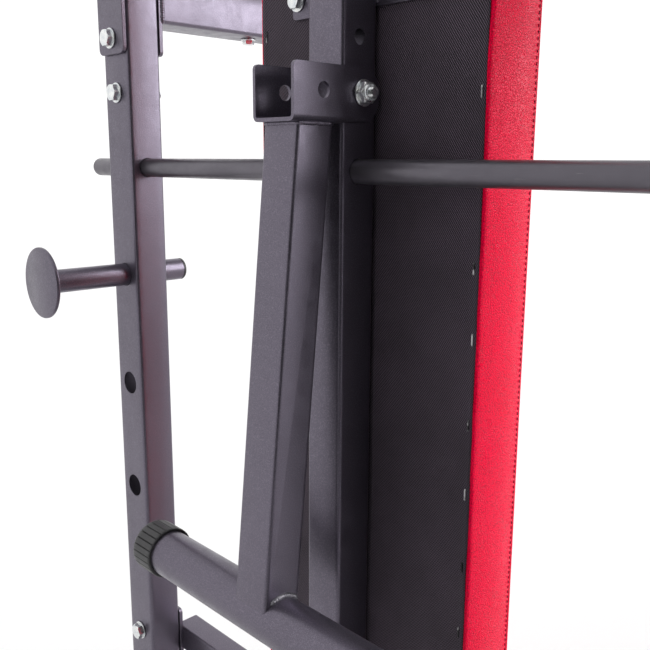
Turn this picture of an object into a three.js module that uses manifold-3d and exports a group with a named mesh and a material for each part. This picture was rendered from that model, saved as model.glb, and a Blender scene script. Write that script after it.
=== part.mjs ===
// A flat exercise bench that folds up between the two uprights of a free-standing rack.
//
// Folded, the pad stands upright as the back rest of two forearm arms. A long steel rod goes through
// both uprights and the bench's beam and locks it there. Unfolded, the bench lies forward (-Y) on its
// folding leg, and two pegs in the uprights carry a barbell.
//
// Units are millimetres and +Z is up. The model is drawn in the rack's own frame, whose origin is the
// lock rod's axis midway between the uprights, and one group then stands it on the floor.

import * as THREE from 'three';
import { mergeVertices } from 'three/addons/utils/BufferGeometryUtils.js';
import Module from 'manifold-3d';

const wasm = await Module();
wasm.setup();

// ---------------------------------------------------------------- driving dimensions

const GAP = 0.3; // between pieces that touch

const ROD_HEIGHT = 1044.5; // lock rod above the floor
const RACK_Y = -90; // uprights in front of the middle of the base
const FLOOR = -ROD_HEIGHT; // the floor in the rack's own frame

const UPRIGHT = { x: 325, width: 50, depth: 40, wall: 2, corner: 4, top: 262 };
const FOOT = { size: 50, wall: 2, corner: 4, front: -300, rear: 480, sleeve: 3, sleeveLength: 45 };
const CROSS_TUBE_Y = 400;

const ROD = { radius: 10, halfLength: 406, hole: 10.5 };
const PEG = { radius: 12.5, wall: 2.5, hole: 13, top: -119, pitch: 127.5, front: -116, rear: 52 };
const PEG_DISC = { radius: 37.5, thickness: 4 };
const PEG_HOLES = 3;
const PEG_IN_HOLE = { left: 0, right: 2 }; // counted from the top

const BOLT = { shank: 5, hole: 5.4, washer: 10.6, washerThick: 1.8, flats: 16.4, head: 6.6, nut: 8 };
const SMALL_BOLT = { shank: 4, hole: 4.4, washer: 9, washerThick: 1.6, flats: 13, head: 5.4, nut: 6.5 };
const UPRIGHT_BOLT_Z = 79.7;

const PLATE = 4.5; // bolted plates
const CROSSBAR = { z: -586, height: 32, depth: 30, wall: 2, halfLength: 312 };
const CROSSBAR_PLATE = { height: 82, boltPitch: 41 };

const ARM = { z: 178.5, size: 50, wall: 2.5, end: 440 };
const ARM_PLATE = { height: 119, boltPitch: 86 };
const ARM_PAD = { front: 62, rear: 342, width: 128, thick: 52 };
const ARM_PAD_BOLTS_Y = [163, 300];
const GRIP = { y: 410, post: 14, radius: 17.5, height: 128 };

const BEAM = { size: 40, wall: 2, corner: 3.5, bottom: -564, top: 300 };
const HINGE = { lug: 5, lugX: 13.5, plate: 5, radius: 16, lugRadius: 15, plateTop: -528 };

const PAD = { width: 261, bottom: -530, top: 331, back: 23.1, front: 94, corner: 24 };
const BACKING = 1; // cloth on the pad's back
const BOARD = { thick: 15, inset: 5.5 };
const STRAP = { halfLength: 83, height: 31, thick: 2.5, boltX: 76, heights: [146.5, -480] };

const LEG = { pivotZ: 62, lockHole: 43.5, lockHoleRadius: 6.3, lean: THREE.MathUtils.degToRad(5.5) };
const BRACKET = { outer: 24, wall: 3, bend: 5, front: -74.5, round: 19.8, bottom: 38, webRear: -20.6 };
const STRUT = { width: 40, depth: 38, wall: 2, corner: 3.5 };
const LEG_FOOT = { y: -87.3, z: -371, radius: 22, wall: 2, halfLength: 177, cap: 25, capLength: 31 };

// ---------------------------------------------------------------- materials

const paint = new THREE.MeshStandardMaterial({ color: 0x4c4851, roughness: 0.55, metalness: 0.35 });
const rodPaint = new THREE.MeshStandardMaterial({ color: 0x403e44, roughness: 0.45, metalness: 0.5 });
const zinc = new THREE.MeshStandardMaterial({ color: 0xc9ccd0, roughness: 0.3, metalness: 0.95 });
const blackPlastic = new THREE.MeshStandardMaterial({ color: 0x232226, roughness: 0.6, metalness: 0 });
const redVinyl = new THREE.MeshStandardMaterial({ color: 0xd00a2c, roughness: 0.4, metalness: 0 });
const blackVinyl = new THREE.MeshStandardMaterial({ color: 0x1c1b1e, roughness: 0.5, metalness: 0 });
const blackCloth = new THREE.MeshStandardMaterial({ color: 0x2a272b, roughness: 0.9, metalness: 0 });
const foamRubber = new THREE.MeshStandardMaterial({ color: 0x1b1b1d, roughness: 0.85, metalness: 0 });
const plywood = new THREE.MeshStandardMaterial({ color: 0xb08a5a, roughness: 0.8, metalness: 0 });

// ---------------------------------------------------------------- geometry helpers

const X = new THREE.Vector3(1, 0, 0);
const Y = new THREE.Vector3(0, 1, 0);
const Z = new THREE.Vector3(0, 0, 1);

// A closed three.js geometry as a manifold solid, for cutting and joining.
function solid(geometry) {
  const bare = geometry.clone();
  bare.deleteAttribute('normal');
  bare.deleteAttribute('uv');
  const merged = mergeVertices(bare);
  const vertProperties = Float32Array.from(merged.attributes.position.array);
  const triVerts = Uint32Array.from(merged.index.array);
  return new wasm.Manifold(new wasm.Mesh({ numProp: 3, vertProperties, triVerts }));
}

function geometryOf(body) {
  const { vertProperties, triVerts } = body.getMesh();
  const geometry = new THREE.BufferGeometry();
  geometry.setAttribute('position', new THREE.BufferAttribute(vertProperties, 3));
  geometry.setIndex(new THREE.BufferAttribute(triVerts, 1));
  geometry.computeVertexNormals();
  return geometry;
}

function join(...geometries) {
  return geometryOf(geometries.map(solid).reduce((all, next) => all.add(next)));
}

function cut(geometry, ...tools) {
  return geometryOf(tools.map(solid).reduce((rest, tool) => rest.subtract(tool), solid(geometry)));
}

// What two geometries have in common.
function common(a, b) {
  return geometryOf(solid(a).intersect(solid(b)));
}

function roundedOutline(width, height, radius, Kind = THREE.Shape) {
  const w = width / 2 - radius;
  const h = height / 2 - radius;
  const outline = new Kind();
  outline.moveTo(w + radius, -h);
  outline.absarc(w, h, radius, 0, Math.PI / 2);
  outline.absarc(-w, h, radius, Math.PI / 2, Math.PI);
  outline.absarc(-w, -h, radius, Math.PI, Math.PI * 1.5);
  outline.absarc(w, -h, radius, Math.PI * 1.5, Math.PI * 2);
  return outline;
}

function extrude(shape, depth, curveSegments = 1) {
  return new THREE.ExtrudeGeometry(shape, { depth, bevelEnabled: false, curveSegments });
}

// A rectangular tube from z = 0 to z = length, open at both ends.
function boxTube(width, height, wall, corner, length, curveSegments = 1) {
  const outline = roundedOutline(width, height, corner);
  outline.holes.push(roundedOutline(width - 2 * wall, height - 2 * wall, corner - wall / 2, THREE.Path));
  return extrude(outline, length, curveSegments);
}

// Turns a shape's extrusion so that it runs along +X or +Y instead of +Z.
function alongX(geometry) {
  return geometry.applyMatrix4(new THREE.Matrix4().makeBasis(Y, Z, X));
}

function alongY(geometry) {
  return geometry.applyMatrix4(new THREE.Matrix4().makeBasis(Z, X, Y));
}

// Turns a shape drawn across x and z so that its extrusion runs forward, along -Y.
function pushedForward(geometry) {
  return geometry.applyMatrix4(new THREE.Matrix4().makeBasis(X, Z, Y.clone().negate()));
}

function box([x0, y0, z0], [x1, y1, z1]) {
  const geometry = new THREE.BoxGeometry(x1 - x0, y1 - y0, z1 - z0);
  return geometry.translate((x0 + x1) / 2, (y0 + y1) / 2, (z0 + z1) / 2);
}

// A round bar between two points on one axis: from start to end along 'x', 'y' or 'z'.
function bar(axis, radius, start, end, [x, y, z], sides = 20) {
  const geometry = new THREE.CylinderGeometry(radius, radius, end - start, sides);
  const middle = (start + end) / 2;
  if (axis === 'x') geometry.rotateZ(Math.PI / 2).translate(middle, y, z);
  if (axis === 'y') geometry.translate(x, middle, z);
  if (axis === 'z') geometry.rotateX(Math.PI / 2).translate(x, y, middle);
  return geometry;
}

// A flat upright plate with rounded corners, from y = start to y = start + thick.
function uprightPlate(width, height, thick, corner, [x, start, z], curveSegments = 1) {
  const plate = alongY(extrude(roundedOutline(height, width, corner), thick, curveSegments));
  return plate.translate(x, start, z);
}

// A hexagon bolt along Z: its washer sits on z = 0 with the head above, and the shank goes down
// through `grip` to a nut, or ends there when it screws into something.
function bolt(size, grip, withNut = true) {
  const { shank, washer, washerThick, flats, head, nut } = size;
  const hexRadius = flats / Math.sqrt(3);
  const lap = 0.3;
  const seat = GAP;
  const headStart = seat + washerThick - lap;
  const pieces = [
    bar('z', washer, seat, seat + washerThick, [0, 0, 0], 16),
    bar('z', hexRadius, headStart, headStart + head, [0, 0, 0], 6),
  ];
  let tip = -grip;
  if (withNut) {
    const nutTop = -grip - GAP;
    const nutBottom = nutTop - nut;
    tip = nutBottom - 5;
    pieces.push(bar('z', hexRadius, nutBottom, nutTop, [0, 0, 0], 6));
  }
  pieces.push(bar('z', shank, tip, headStart + lap, [0, 0, 0], 8));
  return join(...pieces);
}

// ---------------------------------------------------------------- the scene graph

const rack = new THREE.Group();
rack.position.set(0, RACK_Y, ROD_HEIGHT);

function add(name, geometry, material) {
  const mesh = new THREE.Mesh(geometry, material);
  mesh.name = name;
  rack.add(mesh);
  return mesh;
}

// Turns a bolt's head from +Z to the direction it faces.
const HEAD_TOWARDS = {
  front: [Math.PI / 2, 0, 0],
  below: [Math.PI, 0, 0],
  left: [0, -Math.PI / 2, 0],
};

function addBolt(name, size, grip, direction, [x, y, z], withNut = true) {
  const mesh = add(name, bolt(size, grip, withNut), zinc);
  mesh.rotation.set(...HEAD_TOWARDS[direction]);
  mesh.position.set(x, y, z);
}

const SIDES = [['left', -1], ['right', 1]];
const upFront = -UPRIGHT.depth / 2;
const upRear = UPRIGHT.depth / 2;
const crossbarBoltZ = [['upper', 0.5], ['lower', -0.5]].map(
  ([name, half]) => [name, CROSSBAR.z + half * CROSSBAR_PLATE.boltPitch]);
const armBoltZ = [['lower', -0.5], ['upper', 0.5]].map(
  ([name, half]) => [name, ARM.z + half * ARM_PLATE.boltPitch]);

// ---------------------------------------------------------------- rack: uprights and base

function upright(x) {
  const bottom = FLOOR + FOOT.sleeve + FOOT.size + GAP;
  const tube = boxTube(UPRIGHT.width, UPRIGHT.depth, UPRIGHT.wall, UPRIGHT.corner, UPRIGHT.top - bottom, 2);
  tube.translate(x, 0, bottom);
  const across = [x - UPRIGHT.width, x + UPRIGHT.width];
  const holes = [bar('x', ROD.hole, ...across, [x, 0, 0])];
  for (let i = 0; i < PEG_HOLES; i++) {
    holes.push(bar('y', PEG.hole, -UPRIGHT.depth, UPRIGHT.depth, [x, 0, PEG.top - i * PEG.pitch]));
  }
  for (const z of [UPRIGHT_BOLT_Z, ...armBoltZ.map((b) => b[1]), ...crossbarBoltZ.map((b) => b[1])]) {
    holes.push(bar('y', BOLT.hole, -UPRIGHT.depth, UPRIGHT.depth, [x, 0, z], 10));
  }
  return cut(tube, ...holes);
}

// A push-in plug for a tube that ends at z = 0: a flange on top and a block inside the tube.
function plug(width, height, wall, corner, flange, depth) {
  const lip = extrude(roundedOutline(width, height, corner), flange).translate(0, 0, GAP);
  const inner = 2 * wall + 2 * GAP;
  const block = extrude(roundedOutline(width - inner, height - inner, corner - wall / 2), depth + 1);
  return join(lip, block.translate(0, 0, GAP - depth));
}

// The floor tube under one upright, with the triangular gusset welded behind the upright's foot.
function baseFoot(x) {
  const start = FOOT.front + 2 * FOOT.sleeve;
  const end = FOOT.rear - 2 * FOOT.sleeve;
  const centre = FLOOR + FOOT.sleeve + FOOT.size / 2;
  const tube = alongY(boxTube(FOOT.size, FOOT.size, FOOT.wall, FOOT.corner, end - start));
  const gusset = new THREE.Shape();
  const heel = [upRear + GAP, centre + FOOT.size / 2 - 1];
  gusset.moveTo(...heel);
  gusset.lineTo(heel[0] + 110, heel[1]);
  gusset.lineTo(heel[0] + 96, heel[1] + 10);
  gusset.lineTo(heel[0] + 10, heel[1] + 150);
  gusset.lineTo(heel[0], heel[1] + 150);
  const thick = 5;
  const web = alongX(extrude(gusset, thick)).translate(x - thick / 2, 0, 0);
  return join(tube.translate(x, start, centre), web);
}

// A sleeve closed at one end, pushed over the end of a floor tube. side is -1 in front, 1 behind.
function footSleeve(x, side) {
  const outer = FOOT.size + 2 * FOOT.sleeve;
  const face = side < 0 ? FOOT.front : FOOT.rear;
  const shell = alongY(extrude(roundedOutline(outer, outer, 8), FOOT.sleeveLength));
  const centre = FLOOR + outer / 2;
  const hollow = FOOT.sleeveLength - 2 * FOOT.sleeve + GAP;
  const room = alongY(extrude(roundedOutline(FOOT.size + 0.6, FOOT.size + 0.6, FOOT.corner), hollow + 5));
  const start = side < 0 ? face : face - FOOT.sleeveLength;
  const roomStart = side < 0 ? start + FOOT.sleeveLength - hollow : start - 5;
  return cut(shell.translate(x, start, centre), room.translate(x, roomStart, centre));
}

for (const [side, sign] of SIDES) {
  const x = sign * UPRIGHT.x;
  add(`upright_${side}`, upright(x), paint);
  const cap = add(`upright_cap_${side}`,
    plug(UPRIGHT.width, UPRIGHT.depth, UPRIGHT.wall, UPRIGHT.corner, 4, 14), blackPlastic);
  cap.position.set(x, 0, UPRIGHT.top);
  add(`base_foot_${side}`, baseFoot(x), paint);
  add(`base_foot_cap_front_${side}`, footSleeve(x, -1), blackPlastic);
  add(`base_foot_cap_rear_${side}`, footSleeve(x, 1), blackPlastic);
}

const crossHalf = UPRIGHT.x - FOOT.size / 2 - GAP;
const crossTube = alongX(boxTube(FOOT.size, FOOT.size, FOOT.wall, FOOT.corner, 2 * crossHalf));
crossTube.translate(-crossHalf, CROSS_TUBE_Y, FLOOR + FOOT.sleeve + FOOT.size / 2);
add('base_cross_tube', crossTube, paint);

// ---------------------------------------------------------------- rack: crossbar and bench hinge

// One ear of the bench hinge: a plate that runs forward from the crossbar to a round end.
function hingeLug(x) {
  const outline = new THREE.Shape();
  const root = upRear + PLATE + 1.2;
  outline.moveTo(root, CROSSBAR.z - HINGE.lugRadius);
  outline.lineTo(root, CROSSBAR.z + HINGE.lugRadius);
  outline.lineTo(0, CROSSBAR.z + HINGE.lugRadius);
  outline.absarc(0, CROSSBAR.z, HINGE.lugRadius, Math.PI / 2, Math.PI * 1.5);
  return alongX(extrude(outline, HINGE.lug, 5)).translate(x, 0, 0);
}

function crossbar() {
  const { z, height, depth, wall, halfLength } = CROSSBAR;
  const front = upRear + PLATE;
  const tube = alongX(boxTube(depth, height, wall, 3, 2 * halfLength));
  tube.translate(-halfLength, front + depth / 2, z);
  const plates = SIDES.map(([, sign]) => uprightPlate(
    UPRIGHT.width, CROSSBAR_PLATE.height, PLATE, 5, [sign * UPRIGHT.x, upRear + GAP, z]));
  const lugs = [hingeLug(-HINGE.lugX - HINGE.lug), hingeLug(HINGE.lugX)];
  const holes = [bar('x', BOLT.hole, -30, 30, [0, 0, z], 10)];
  for (const [, sign] of SIDES) {
    for (const [, boltZ] of crossbarBoltZ) {
      holes.push(bar('y', BOLT.hole, 0, front + 2, [sign * UPRIGHT.x, 0, boltZ], 10));
    }
  }
  return cut(join(tube, ...plates, ...lugs), ...holes);
}

add('crossbar_lower', crossbar(), paint);
for (const [side, sign] of SIDES) {
  for (const [level, z] of crossbarBoltZ) {
    const grip = UPRIGHT.depth + PLATE + GAP;
    addBolt(`crossbar_bolt_${level}_${side}`, BOLT, grip, 'front', [sign * UPRIGHT.x, upFront, z]);
  }
}

const hingePlateOuter = BEAM.size / 2 + HINGE.plate;
addBolt('bench_hinge_bolt', BOLT, 2 * hingePlateOuter, 'left', [-hingePlateOuter, 0, CROSSBAR.z]);

// ---------------------------------------------------------------- rack: forearm arms

// The arm bar with its end plate and the upright post that carries the grip, all welded together.
function arm(x) {
  const start = upRear + PLATE;
  const tube = alongY(boxTube(ARM.size, ARM.size, ARM.wall, 4, ARM.end - start));
  const plate = uprightPlate(UPRIGHT.width, ARM_PLATE.height, PLATE, 5, [x, upRear + GAP, ARM.z]);
  const top = ARM.z + ARM.size / 2;
  const post = bar('z', GRIP.post, top - 1, top + GRIP.height - 6, [x, GRIP.y, 0]);
  const holes = armBoltZ.map(([, z]) => bar('y', BOLT.hole, 0, start + 2, [x, 0, z], 10));
  for (const y of ARM_PAD_BOLTS_Y) {
    holes.push(bar('z', SMALL_BOLT.hole, top - ARM.size - 2, top + 2, [x, y, 0], 10));
  }
  return cut(join(tube.translate(x, start, ARM.z), plate, post), ...holes);
}

function armFrontPlate(x) {
  const start = upFront - GAP - PLATE;
  const plate = uprightPlate(UPRIGHT.width, ARM_PLATE.height, PLATE, 7, [x, start, ARM.z]);
  return cut(plate, ...armBoltZ.map(([, z]) => bar('y', BOLT.hole, start - 2, 0, [x, 0, z], 10)));
}

function armPad(x) {
  const { front, rear, width, thick } = ARM_PAD;
  const bottom = ARM.z + ARM.size / 2 + GAP;
  const bevel = 10;
  const outline = roundedOutline(width - 2 * bevel, rear - front - 2 * bevel, 10);
  const body = new THREE.ExtrudeGeometry(outline, {
    depth: thick - bevel, bevelThickness: bevel, bevelSize: bevel, bevelSegments: 2, curveSegments: 1,
  });
  body.translate(x, (front + rear) / 2, bottom);
  const under = box([x - width, front - 1, bottom - 2 * bevel], [x + width, rear + 1, bottom]);
  const holes = ARM_PAD_BOLTS_Y.map(
    (y) => bar('z', SMALL_BOLT.hole, bottom - 2, bottom + 14, [x, y, 0], 10));
  return cut(body, under, ...holes);
}

function grip(x) {
  const top = ARM.z + ARM.size / 2;
  const shell = bar('z', GRIP.radius, top + GAP, top + GRIP.height, [x, GRIP.y, 0]);
  const room = bar('z', GRIP.post + GAP, top - 1, top + GRIP.height - 5, [x, GRIP.y, 0]);
  return cut(shell, room);
}

for (const [side, sign] of SIDES) {
  const x = sign * UPRIGHT.x;
  add(`arm_${side}`, arm(x), paint);
  add(`arm_front_plate_${side}`, armFrontPlate(x), paint);
  for (const [level, z] of armBoltZ) {
    const stack = UPRIGHT.depth + 2 * (PLATE + GAP);
    addBolt(`arm_bolt_${level}_${side}`, BOLT, stack, 'front', [x, upFront - GAP - PLATE, z]);
  }
  addBolt(`upright_bolt_${side}`, BOLT, UPRIGHT.depth, 'front', [x, upFront, UPRIGHT_BOLT_Z]);
  add(`arm_pad_${side}`, armPad(x), blackVinyl);
  ARM_PAD_BOLTS_Y.forEach((y, i) => {
    const name = `arm_pad_bolt_${i + 1}_${side}`;
    addBolt(name, SMALL_BOLT, ARM.size + 12, 'below', [x, y, ARM.z - ARM.size / 2], false);
  });
  const cap = add(`arm_end_cap_${side}`, plug(ARM.size, ARM.size, ARM.wall, 4, 5, 14), blackPlastic);
  cap.rotation.set(-Math.PI / 2, 0, 0);
  cap.position.set(x, ARM.end, ARM.z);
  add(`arm_grip_${side}`, grip(x), foamRubber);
}

// ---------------------------------------------------------------- lock rod and barbell pegs

add('lock_rod', bar('x', ROD.radius, -ROD.halfLength, ROD.halfLength, [0, 0, 0]), rodPaint);

const pegHeight = (side) => PEG.top - PEG_IN_HOLE[side] * PEG.pitch;

function peg(x, z) {
  const centre = [x, 0, z];
  const disc = bar('y', PEG_DISC.radius, PEG.front - PEG_DISC.thickness, PEG.front + 0.5, centre, 32);
  const stem = bar('y', PEG.radius, PEG.front, PEG.rear, centre);
  const bore = bar('y', PEG.radius - PEG.wall, PEG.front + 2, PEG.rear + 1, centre);
  return cut(join(disc, stem), bore);
}

function pegPlug(x, z) {
  const face = bar('y', PEG.radius, PEG.rear + GAP, PEG.rear + GAP + 3.5, [x, 0, z]);
  const bung = bar('y', PEG.radius - PEG.wall - GAP, PEG.rear - 12, PEG.rear + 1, [x, 0, z]);
  return join(face, bung);
}

for (const [side, sign] of SIDES) {
  add(`peg_${side}`, peg(sign * UPRIGHT.x, pegHeight(side)), paint);
  add(`peg_plug_${side}`, pegPlug(sign * UPRIGHT.x, pegHeight(side)), blackPlastic);
}

// ---------------------------------------------------------------- bench: beam, straps and pad

// A side plate of the bench hinge, welded to the beam's side and round about the hinge bolt.
function hingePlate(x) {
  const outline = new THREE.Shape();
  outline.moveTo(HINGE.radius, CROSSBAR.z);
  outline.lineTo(HINGE.radius, HINGE.plateTop);
  outline.lineTo(-HINGE.radius, HINGE.plateTop);
  outline.lineTo(-HINGE.radius, CROSSBAR.z);
  outline.absarc(0, CROSSBAR.z, HINGE.radius, Math.PI, Math.PI * 2);
  return alongX(extrude(outline, HINGE.plate + 0.5, 5)).translate(x, 0, 0);
}

function beam() {
  const tube = boxTube(BEAM.size, BEAM.size, BEAM.wall, BEAM.corner, BEAM.top - BEAM.bottom, 2);
  const half = BEAM.size / 2;
  const plates = [hingePlate(half - 0.5), hingePlate(-half - HINGE.plate)];
  const body = join(tube.translate(0, 0, BEAM.bottom), ...plates);
  const through = (radius, z, sides) => bar('x', radius, -40, 40, [0, 0, z], sides);
  return cut(body, through(ROD.hole, 0, 20), through(BOLT.hole, LEG.pivotZ, 10),
    through(LEG.lockHoleRadius, LEG.pivotZ + LEG.lockHole, 16), through(BOLT.hole, CROSSBAR.z, 10));
}

add('bench_beam', beam(), paint);
const beamPlug = plug(BEAM.size, BEAM.size, BEAM.wall, BEAM.corner, 3, 14);
const beamCap = add('bench_beam_cap', beamPlug, blackPlastic);
beamCap.position.set(0, 0, BEAM.top);

const strapBack = PAD.back - GAP;
const padMiddle = (PAD.top + PAD.bottom) / 2;
const padLength = PAD.top - PAD.bottom;
const strapBolts = STRAP.heights.flatMap((z) => SIDES.map(([, sign]) => [sign * STRAP.boltX, z]));

function strap(z) {
  const { halfLength, height, thick } = STRAP;
  const plate = uprightPlate(2 * halfLength, height, thick, 4, [0, strapBack - thick, z]);
  const holes = SIDES.map(([, sign]) => bar('y', SMALL_BOLT.hole, 10, 30, [sign * STRAP.boltX, 0, z], 10));
  return cut(plate, ...holes);
}

function boltHoles(start, end) {
  return strapBolts.map(([x, z]) => bar('y', SMALL_BOLT.hole, start, end, [x, 0, z], 10));
}

function padBacking() {
  const cloth = uprightPlate(PAD.width - 3, padLength - 3, BACKING, PAD.corner, [0, PAD.back, padMiddle], 2);
  return cut(cloth, ...boltHoles(PAD.back - 5, PAD.back + 5));
}

const boardBack = PAD.back + BACKING + GAP;

function padBoard() {
  const { thick, inset } = BOARD;
  const board = uprightPlate(
    PAD.width - 2 * inset, padLength - 2 * inset, thick, PAD.corner - inset, [0, boardBack, padMiddle], 2);
  return cut(board, ...boltHoles(boardBack - 2, boardBack + thick + 2));
}

// Foam under its cover: wrapped round the board's edges and open at the back.
function padCushion() {
  const bevel = 12;
  const outline = roundedOutline(padLength - 2 * bevel, PAD.width - 2 * bevel, PAD.corner - bevel / 2);
  const depth = PAD.front - boardBack - bevel;
  const body = alongY(new THREE.ExtrudeGeometry(outline, {
    depth: depth + bevel, bevelThickness: bevel, bevelSize: bevel, bevelSegments: 2, curveSegments: 2,
  }));
  body.translate(0, PAD.front - 2 * bevel - depth, padMiddle);
  const rear = box([-PAD.width, PAD.front - 4 * bevel - depth, PAD.bottom - bevel],
    [PAD.width, boardBack, PAD.top + bevel]);
  const edge = 2 * (BOARD.inset - GAP);
  const corner = PAD.corner - BOARD.inset;
  const recess = uprightPlate(
    PAD.width - edge, padLength - edge, BOARD.thick + GAP + 1, corner, [0, boardBack - 1, padMiddle], 2);
  return cut(body, rear, recess);
}

STRAP.heights.forEach((z, i) => {
  const level = ['upper', 'lower'][i];
  add(`pad_strap_${level}`, strap(z), paint);
  for (const [side, sign] of SIDES) {
    const grip = STRAP.thick + GAP + BACKING + BOARD.thick;
    const seat = [sign * STRAP.boltX, strapBack - STRAP.thick, z];
    addBolt(`pad_bolt_${level}_${side}`, SMALL_BOLT, grip, 'front', seat, false);
  }
});
add('pad_backing', padBacking(), blackCloth);
add('pad_board', padBoard(), plywood);
add('pad_cushion', padCushion(), redVinyl);

// ---------------------------------------------------------------- folding leg

// A plate bent up into a U: across x, open at the top.
function channelOutline(outer, wall, bottom, top) {
  const inner = outer - wall;
  const bend = BRACKET.bend;
  const fold = bend - wall;
  const low = bottom + bend;
  const outline = new THREE.Shape();
  outline.moveTo(-outer, top);
  outline.absarc(bend - outer, low, bend, Math.PI, Math.PI * 1.5);
  outline.absarc(outer - bend, low, bend, Math.PI * 1.5, Math.PI * 2);
  outline.lineTo(outer, top);
  outline.lineTo(inner, top);
  outline.absarc(inner - fold, low, fold, 0, -Math.PI / 2, true);
  outline.absarc(fold - inner, low, fold, -Math.PI / 2, -Math.PI, true);
  outline.lineTo(-inner, top);
  return outline;
}

// The channel straddles the beam: its side walls are round at the pivot, and the web underneath
// meets the beam's front face when the leg is folded.
function legBracket() {
  const { outer, wall, front, round, bottom, webRear } = BRACKET;
  const top = LEG.pivotZ + round;
  const channel = pushedForward(extrude(channelOutline(outer, wall, bottom, top + 5), round - front, 2));
  const side = new THREE.Shape();
  side.moveTo(front, bottom);
  side.lineTo(0, bottom);
  side.absellipse(0, LEG.pivotZ, round, LEG.pivotZ - bottom, -Math.PI / 2, 0);
  side.absarc(0, LEG.pivotZ, round, 0, Math.PI / 2);
  side.lineTo(front, top);
  const profile = alongX(extrude(side, 2 * outer + 2, 5)).translate(-outer - 1, 0, 0);
  const slot = box([wall - outer, webRear, bottom - 1], [outer - wall, round + 1, top + 1]);
  const pivot = bar('x', BOLT.hole, -40, 40, [0, 0, LEG.pivotZ], 10);
  const lock = bar('x', LEG.lockHoleRadius, -40, 40, [0, -LEG.lockHole, LEG.pivotZ], 16);
  return cut(common(channel.translate(0, round, 0), profile), slot, pivot, lock);
}

// The leg's tube leans forward by LEG.lean, is cut level under the bracket and is saddled on its foot.
function legStrut() {
  const top = BRACKET.bottom - GAP;
  const length = (top - LEG_FOOT.z) / Math.cos(LEG.lean) + 20;
  const tube = boxTube(STRUT.width, STRUT.depth, STRUT.wall, STRUT.corner, length, 2);
  tube.rotateX(-LEG.lean).translate(0, LEG_FOOT.y, LEG_FOOT.z);
  const above = box([-50, -120, top], [50, 60, top + 60]);
  const saddle = bar('x', LEG_FOOT.radius + GAP, -60, 60, [0, LEG_FOOT.y, LEG_FOOT.z], 28);
  return cut(tube, above, saddle);
}

function legFootTube() {
  const { y, z, radius, wall, halfLength } = LEG_FOOT;
  const end = halfLength - 5;
  const bore = bar('x', radius - wall, -end - 1, end + 1, [0, y, z], 28);
  return cut(bar('x', radius, -end, end, [0, y, z], 28), bore);
}

function legFootCap(sign) {
  const { y, z, radius, halfLength, cap, capLength } = LEG_FOOT;
  const ends = [sign * (halfLength - capLength), sign * halfLength].sort((a, b) => a - b);
  const room = [sign * (halfLength - capLength - 1), sign * (halfLength - 4.5)].sort((a, b) => a - b);
  return cut(bar('x', cap, ...ends, [0, y, z], 28), bar('x', radius + GAP, ...room, [0, y, z], 28));
}

add('leg_bracket', legBracket(), paint);
add('leg_strut', legStrut(), paint);
add('leg_foot_tube', legFootTube(), paint);
for (const [side, sign] of SIDES) {
  add(`leg_foot_cap_${side}`, legFootCap(sign), blackPlastic);
}
addBolt('leg_pivot_bolt', BOLT, 2 * BRACKET.outer, 'left', [-BRACKET.outer, 0, LEG.pivotZ]);

const foldingBench = new THREE.Group();
foldingBench.add(rack);
export default foldingBench;
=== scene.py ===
# The looks of the folding exercise bench on its rack: metal work, hardware, upholstery, light and camera.
#
# Pieces are built in millimetres in the rack's own frame, whose origin is the lock rod's axis midway
# between the uprights, and are then placed in the row frame in metres. X is right, -Y is forward.

import math
import random

import bmesh
import bpy
from mathutils import Matrix, Vector, noise


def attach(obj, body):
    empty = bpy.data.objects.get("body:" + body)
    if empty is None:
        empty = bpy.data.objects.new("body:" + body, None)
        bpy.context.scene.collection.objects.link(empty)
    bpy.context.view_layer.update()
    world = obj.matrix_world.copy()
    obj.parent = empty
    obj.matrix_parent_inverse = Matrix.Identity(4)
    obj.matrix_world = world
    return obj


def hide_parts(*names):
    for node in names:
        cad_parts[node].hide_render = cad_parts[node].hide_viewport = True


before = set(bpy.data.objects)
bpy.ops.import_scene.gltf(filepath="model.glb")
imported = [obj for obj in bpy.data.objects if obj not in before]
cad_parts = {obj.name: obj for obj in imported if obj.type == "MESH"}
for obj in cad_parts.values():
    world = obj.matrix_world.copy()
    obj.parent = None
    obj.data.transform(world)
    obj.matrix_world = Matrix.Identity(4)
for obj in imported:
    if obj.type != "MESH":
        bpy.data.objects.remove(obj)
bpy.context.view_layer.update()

# ---------------------------------------------------------------- dimensions, in millimetres

RACK_ORIGIN = Vector((0.0, -0.090, 1.0445))
FLOOR = -1044.5
SIDES = (("left", -1), ("right", 1))

UPRIGHT_X = 325
UPRIGHT = {"width": 50, "depth": 40, "wall": 2, "corner": 4, "bottom": -991.2, "top": 262}
FOOT = {"size": 50, "wall": 2, "corner": 4, "front": -294, "rear": 474, "z": FLOOR + 28}
SLEEVE = {"size": 56, "corner": 8, "front": -300, "rear": 480, "length": 45}
GUSSET = {"thick": 5, "y": 20.3, "z": -992.5, "length": 110, "height": 150, "toe": 10}
CROSS_TUBE = {"y": 400, "half": 299.7}

ROD = {"radius": 10, "half": 406, "hole": 10.5}
PEG = {"radius": 12.5, "wall": 2.5, "hole": 13, "heights": (-119, -246.5, -374), "front": -116, "rear": 52}
PEG_DISC = {"radius": 37.5, "thick": 4}
PEG_IN_HOLE = {"left": 0, "right": 2}

M10 = {"shank": 5, "washer": 10.6, "washer_thick": 1.8, "flats": 16.4, "head": 6.6, "nut": 8, "pitch": 1.5}
M8 = {"shank": 4, "washer": 9, "washer_thick": 1.6, "flats": 13, "head": 5.4, "nut": 6.5, "pitch": 1.25}

PLATE = 4.5
CROSSBAR = {"z": -586, "height": 32, "depth": 30, "wall": 2, "half": 312, "y": 39.5, "plate": 82, "pitch": 41}
LUG = {"x": 13.5, "thick": 5, "radius": 15, "root": 25.7}

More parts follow.
